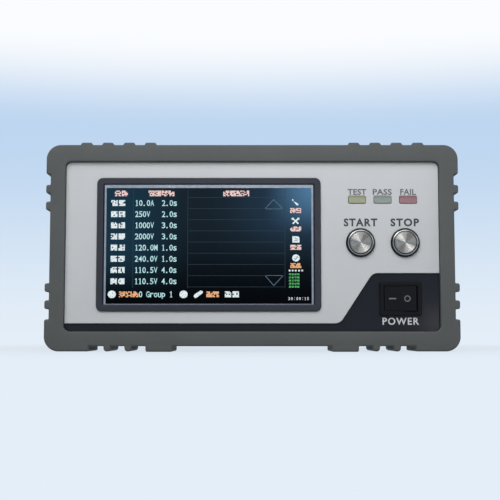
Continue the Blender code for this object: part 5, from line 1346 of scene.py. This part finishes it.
# %% [markdown]
# ## Screws, contacts and windings
#
# A pan-head screw is turned and its cross is cut with two crossing blocks. One template serves the whole
# instrument: it is scaled and turned in mesh code, and the pattern then gives each copy its own turn, because
# no fitter lines them up.

# %% Screw template
HEAD_PROFILE = ((0, 0), (0.0030, 0), (0.0030, -0.0005), (0.00279, -0.0009), (0.00225, -0.0012),
                (0.00135, -0.0014), (0, -0.0014))
CROSS_ARM = 0.00165
CROSS_HALF = 0.00038


def screw_template():
    """Pan-head screw that faces -Y, with its seat at the origin."""
    bm = bmesh.new()
    lathe(bm, HEAD_PROFILE, sides=28)
    source = placed("screw_head", mesh_of(bm))
    bm = bmesh.new()
    box_in(bm, (-CROSS_ARM, -0.002, -CROSS_HALF), (CROSS_ARM, -0.0005, CROSS_HALF))
    box_in(bm, (-CROSS_HALF, -0.00195, -CROSS_ARM), (CROSS_HALF, -0.00048, CROSS_ARM))
    cutter = placed("screw_cross", mesh_of(bm))
    modify(source, "BOOLEAN", operation="DIFFERENCE", solver="EXACT", use_self=True, object=cutter)
    mesh = evaluated(source)
    bpy.data.objects.remove(cutter)
    mesh.shade_smooth()
    mesh.set_sharp_from_angle(angle=math.radians(35))
    return mesh


screw_head = screw_template()
print("screw faces:", len(screw_head.polygons))

# %% Screws on the outside
FAN_HOLE_SPACING = 0.0715
REAR_SCREWS = ((-0.1340, 0.0220), (-0.1340, 0.1360), (0.1340, 0.0220), (0.1340, 0.1360), (0.0, 0.1370))
SIDE_SCREW_Z = 0.0215
SIDE_SCREW_Y = (-0.11, 0.0, 0.11)
SMALL = 0.8


def screws(name, points, facing, size, seed):
    """Screws on points whose heads face a direction."""
    template = screw_head.copy()
    template.transform(facing_to(facing) @ Matrix.Scale(size, 4))
    mesh = at_points.grow(name, template, zinc, points, Axis=facing, Freedom=1.0, Share=1.0, Seed=seed)
    dressed(name, mesh, zinc, "zinc_steel")
    print(name, len(points))


panel_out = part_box("rear_panel")[1].y
guard_low, guard_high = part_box("fan_guard")
fan_middle = (guard_low + guard_high) / 2
offset = FAN_HOLE_SPACING / 2
fan_holes = [(fan_middle.x + x * offset, guard_high.y, fan_middle.z + z * offset)
             for x in (-1, 1) for z in (-1, 1)]
screws("fan_screws", fan_holes, (0, 1, 0), 1.0, 11)
screws("rear_screws", [(x, panel_out, z) for x, z in REAR_SCREWS], (0, 1, 0), SMALL, 12)
for name, side, cover_corner in (("left_screws", -1, 0), ("right_screws", 1, 1)):
    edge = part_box("top_cover")[cover_corner].x
    screws(name, [(edge, y, SIDE_SCREW_Z) for y in SIDE_SCREW_Y], (side, 0, 0), 1.0, 13)

# %% [markdown]
# ## Fan guard
#
# A finger guard is a stamped plate: rings of curved slots, parted by four straight bars. The built solid
# keeps its curves short of points, so this one is cut again with fine arcs. One call fills the plate's faces
# between its border and all of its slots.

# %% Fan guard
GUARD_MIDDLE = 0.0090
GUARD_SLOT = 0.0038
GUARD_BAR = 0.0022
GUARD_RINGS = 5
GUARD_CORNER = 0.0035
SLOT_STEP = 0.0012


def arc_slot(radius, quarter):
    """Slot between two arcs, whose ends run along the bars."""
    points = []
    for reach, way in ((radius + GUARD_SLOT, 1), (radius, -1)):
        margin = math.asin(GUARD_BAR / reach)
        sweep = math.pi / 2 - 2 * margin
        steps = math.ceil(reach * sweep / SLOT_STEP)
        angles = [(quarter + 0.5) * math.pi / 2 + margin + sweep * step / steps for step in range(steps + 1)]
        points += [Vector(on_circle((fan_middle.x, fan_middle.z), reach, angle)) for angle in angles[::way]]
    return points


slots_cut = [arc_slot(GUARD_MIDDLE + (GUARD_SLOT + GUARD_BAR) * ring, quarter)
             for ring in range(GUARD_RINGS) for quarter in range(4)]
border = opening(guard_low, guard_high, GUARD_CORNER, 0)
bm = bmesh.new()
walls = [loft(bm, [(outline, guard_low.y), (outline, guard_high.y)]) for outline in [border, *slots_cut]]
for side in (0, 1):
    filled(bm, *[wall[side] for wall in walls])
dressed("fan_guard_stamped", mesh_of(bm), zinc, slots["fan_guard"], "fan_guard")
print("slots in the guard:", len(slots_cut))

# %% [markdown]
# ## Ring transformer
#
# The mains transformer is a ring of steel band, wound with enamelled wire that passes through its bore. One
# turn is a tube along the rounded section of the ring: the outline is moved in and shifted sideways for each
# step round the wire. The pattern then repeats the turn round the ring's axis.

# %% Ring transformer
TURNS = 96
WIRE_RADIUS = 0.00085
WIRE_SIDES = 8
BORE = 0.016
RING_ROUND = 0.004
TURN_STEP = 0.0015

ring_low, ring_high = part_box("mains_transformer")
ring_middle = (ring_low + ring_high) / 2
ring_outer = (ring_high.x - ring_low.x) / 2
section = rounded(BORE, ring_low.z, ring_outer, ring_high.z, RING_ROUND, TURN_STEP)
wire_angles = [FULL_TURN * side / WIRE_SIDES for side in range(WIRE_SIDES + 1)]
bm = bmesh.new()
loft(bm, [(moved_in(section, WIRE_RADIUS * (1 - math.cos(angle))), WIRE_RADIUS * math.sin(angle))
          for angle in wire_angles])
bmesh.ops.remove_doubles(bm, verts=bm.verts, dist=JOIN)
winding = round_axis.grow("mains_winding", mesh_of(bm, smooth_angle=60), copper, Count=TURNS,
                          Middle=(ring_middle.x, ring_middle.y, 0))
dressed("mains_winding", winding, copper, slots["mains_transformer"], "mains_transformer")

bm = bmesh.new()
lathe(bm, [(point.x, point.y) for point in reversed(moved_in(section, WIRE_RADIUS))], sides=72)
core = mesh_of(bm, smooth_angle=40)
core.transform(Matrix.Translation((ring_middle.x, ring_middle.y, 0)) @ Matrix.Rotation(math.pi / 2, 4, "X"))
dressed("mains_core", core, core_steel, "transformer_core")
print("winding faces:", len(winding.polygons))

# %% [markdown]
# ## Connector faces
#
# A D-shaped port is a plated shell round a black insulator with two staggered rows of sockets. The insulator
# is a thin plate inside the shell's rim, and the sockets are a row of small brass cups.

# %% Connector contacts
PORT_Z = 0.0320
CONTACT_PITCH = 0.00277
CONTACT_ROW = 0.00142
CONTACT_PROFILE = ((0.00033, 0), (0.0006, 0), (0.0006, 0.00018), (0.00048, 0.00022), (0.00033, 0.0001))
INSULATOR_DEPTH = 0.00012
SHELL_RIM = 0.0006
SHELL_HALF = 0.0042
SHELL_LEAN = 0.0008
SHELL_ROUND = 0.0013
FLANGE_EXTRA = 0.0145

bm = bmesh.new()
lathe(bm, CONTACT_PROFILE, sides=12)
contact_cup = mesh_of(bm, smooth_angle=40)


def d_face(node, counts):
    """Insulator and contacts on the front of a D-shaped shell."""
    low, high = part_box(node)
    middle = (low.x + high.x) / 2
    half_above = (high.x - low.x - FLANGE_EXTRA) / 2 - SHELL_RIM
    half_below = half_above - SHELL_LEAN
    bottom, top = PORT_Z - SHELL_HALF + SHELL_RIM, PORT_Z + SHELL_HALF - SHELL_RIM
    corners = [(middle - half_below, bottom), (middle + half_below, bottom), (middle + half_above, top),
               (middle - half_above, top)]
    outline = outline_through([(*corner, SHELL_ROUND) for corner in corners], ARC_STEP)
    face_y = high.y + INSULATOR_DEPTH
    bm = bmesh.new()
    for ring in loft(bm, [(outline, high.y), (outline, face_y)]):
        bm.faces.new(ring)
    dressed(node + "_insulator", mesh_of(bm), black_plastic, "black_plastic")
    points = [(middle + CONTACT_PITCH * (index - (count - 1) / 2), face_y, PORT_Z + side * CONTACT_ROW)
              for side, count in zip((-1, 1), counts) for index in range(count)]
    name = node + "_contacts"
    mesh = at_points.grow(name, contact_cup, brass, points, Axis=(0, 1, 0), Freedom=0.0, Share=1.0, Seed=1)
    dressed(name, mesh, brass, "brass")
    print(name, len(points))


d_face("serial_port", (5, 4))
d_face("handler_port", (13, 12))

# %% [markdown]
# ## Everything else, as built
#
# The inlet, the fuse drawer and the fan frame only get soft edges. The remaining solids keep their built
# shape. Each takes the finish of its material slot, and two boards have a varnish of their own.

# %% Finishes of the built solids
softened("inlet_housing", black_plastic, 0.0004, segments=2)
softened("fuse_drawer", black_plastic, 0.0003, segments=2)
softened("fan_frame", black_plastic, 0.0004, segments=2)

BY_SLOT = {"rubber": rubber, "dark_panel": dark_gloss, "light_panel": fascia_paint, "case_paint": case_paint,
           "zinc_steel": zinc, "stainless": button_steel, "black_plastic": black_plastic,
           "screen_glass": lit_screen, "lamp_yellow": lenses["test_lamp"], "lamp_green": lenses["pass_lamp"],
           "lamp_red": lenses["fail_lamp"], "circuit_board": small_varnish, "copper_winding": copper,
           "transformer_core": core_steel, "aluminium": aluminium, "brass": brass, "red_plastic": red_plastic,
           "fuse_glass": fuse_glass}
BY_NODE = {"main_board": main_varnish, "control_board": control_varnish}
for name, node in nodes.items():
    finish = BY_NODE.get(name, BY_SLOT[slots[name]])
    node.data.materials.clear()
    node.data.materials.append(finish.material)
print("slots:", sorted(set(slots.values())))

# %% Sizes and finish
low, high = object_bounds()
print("size:", [round(value, 4) for value in (high - low)])
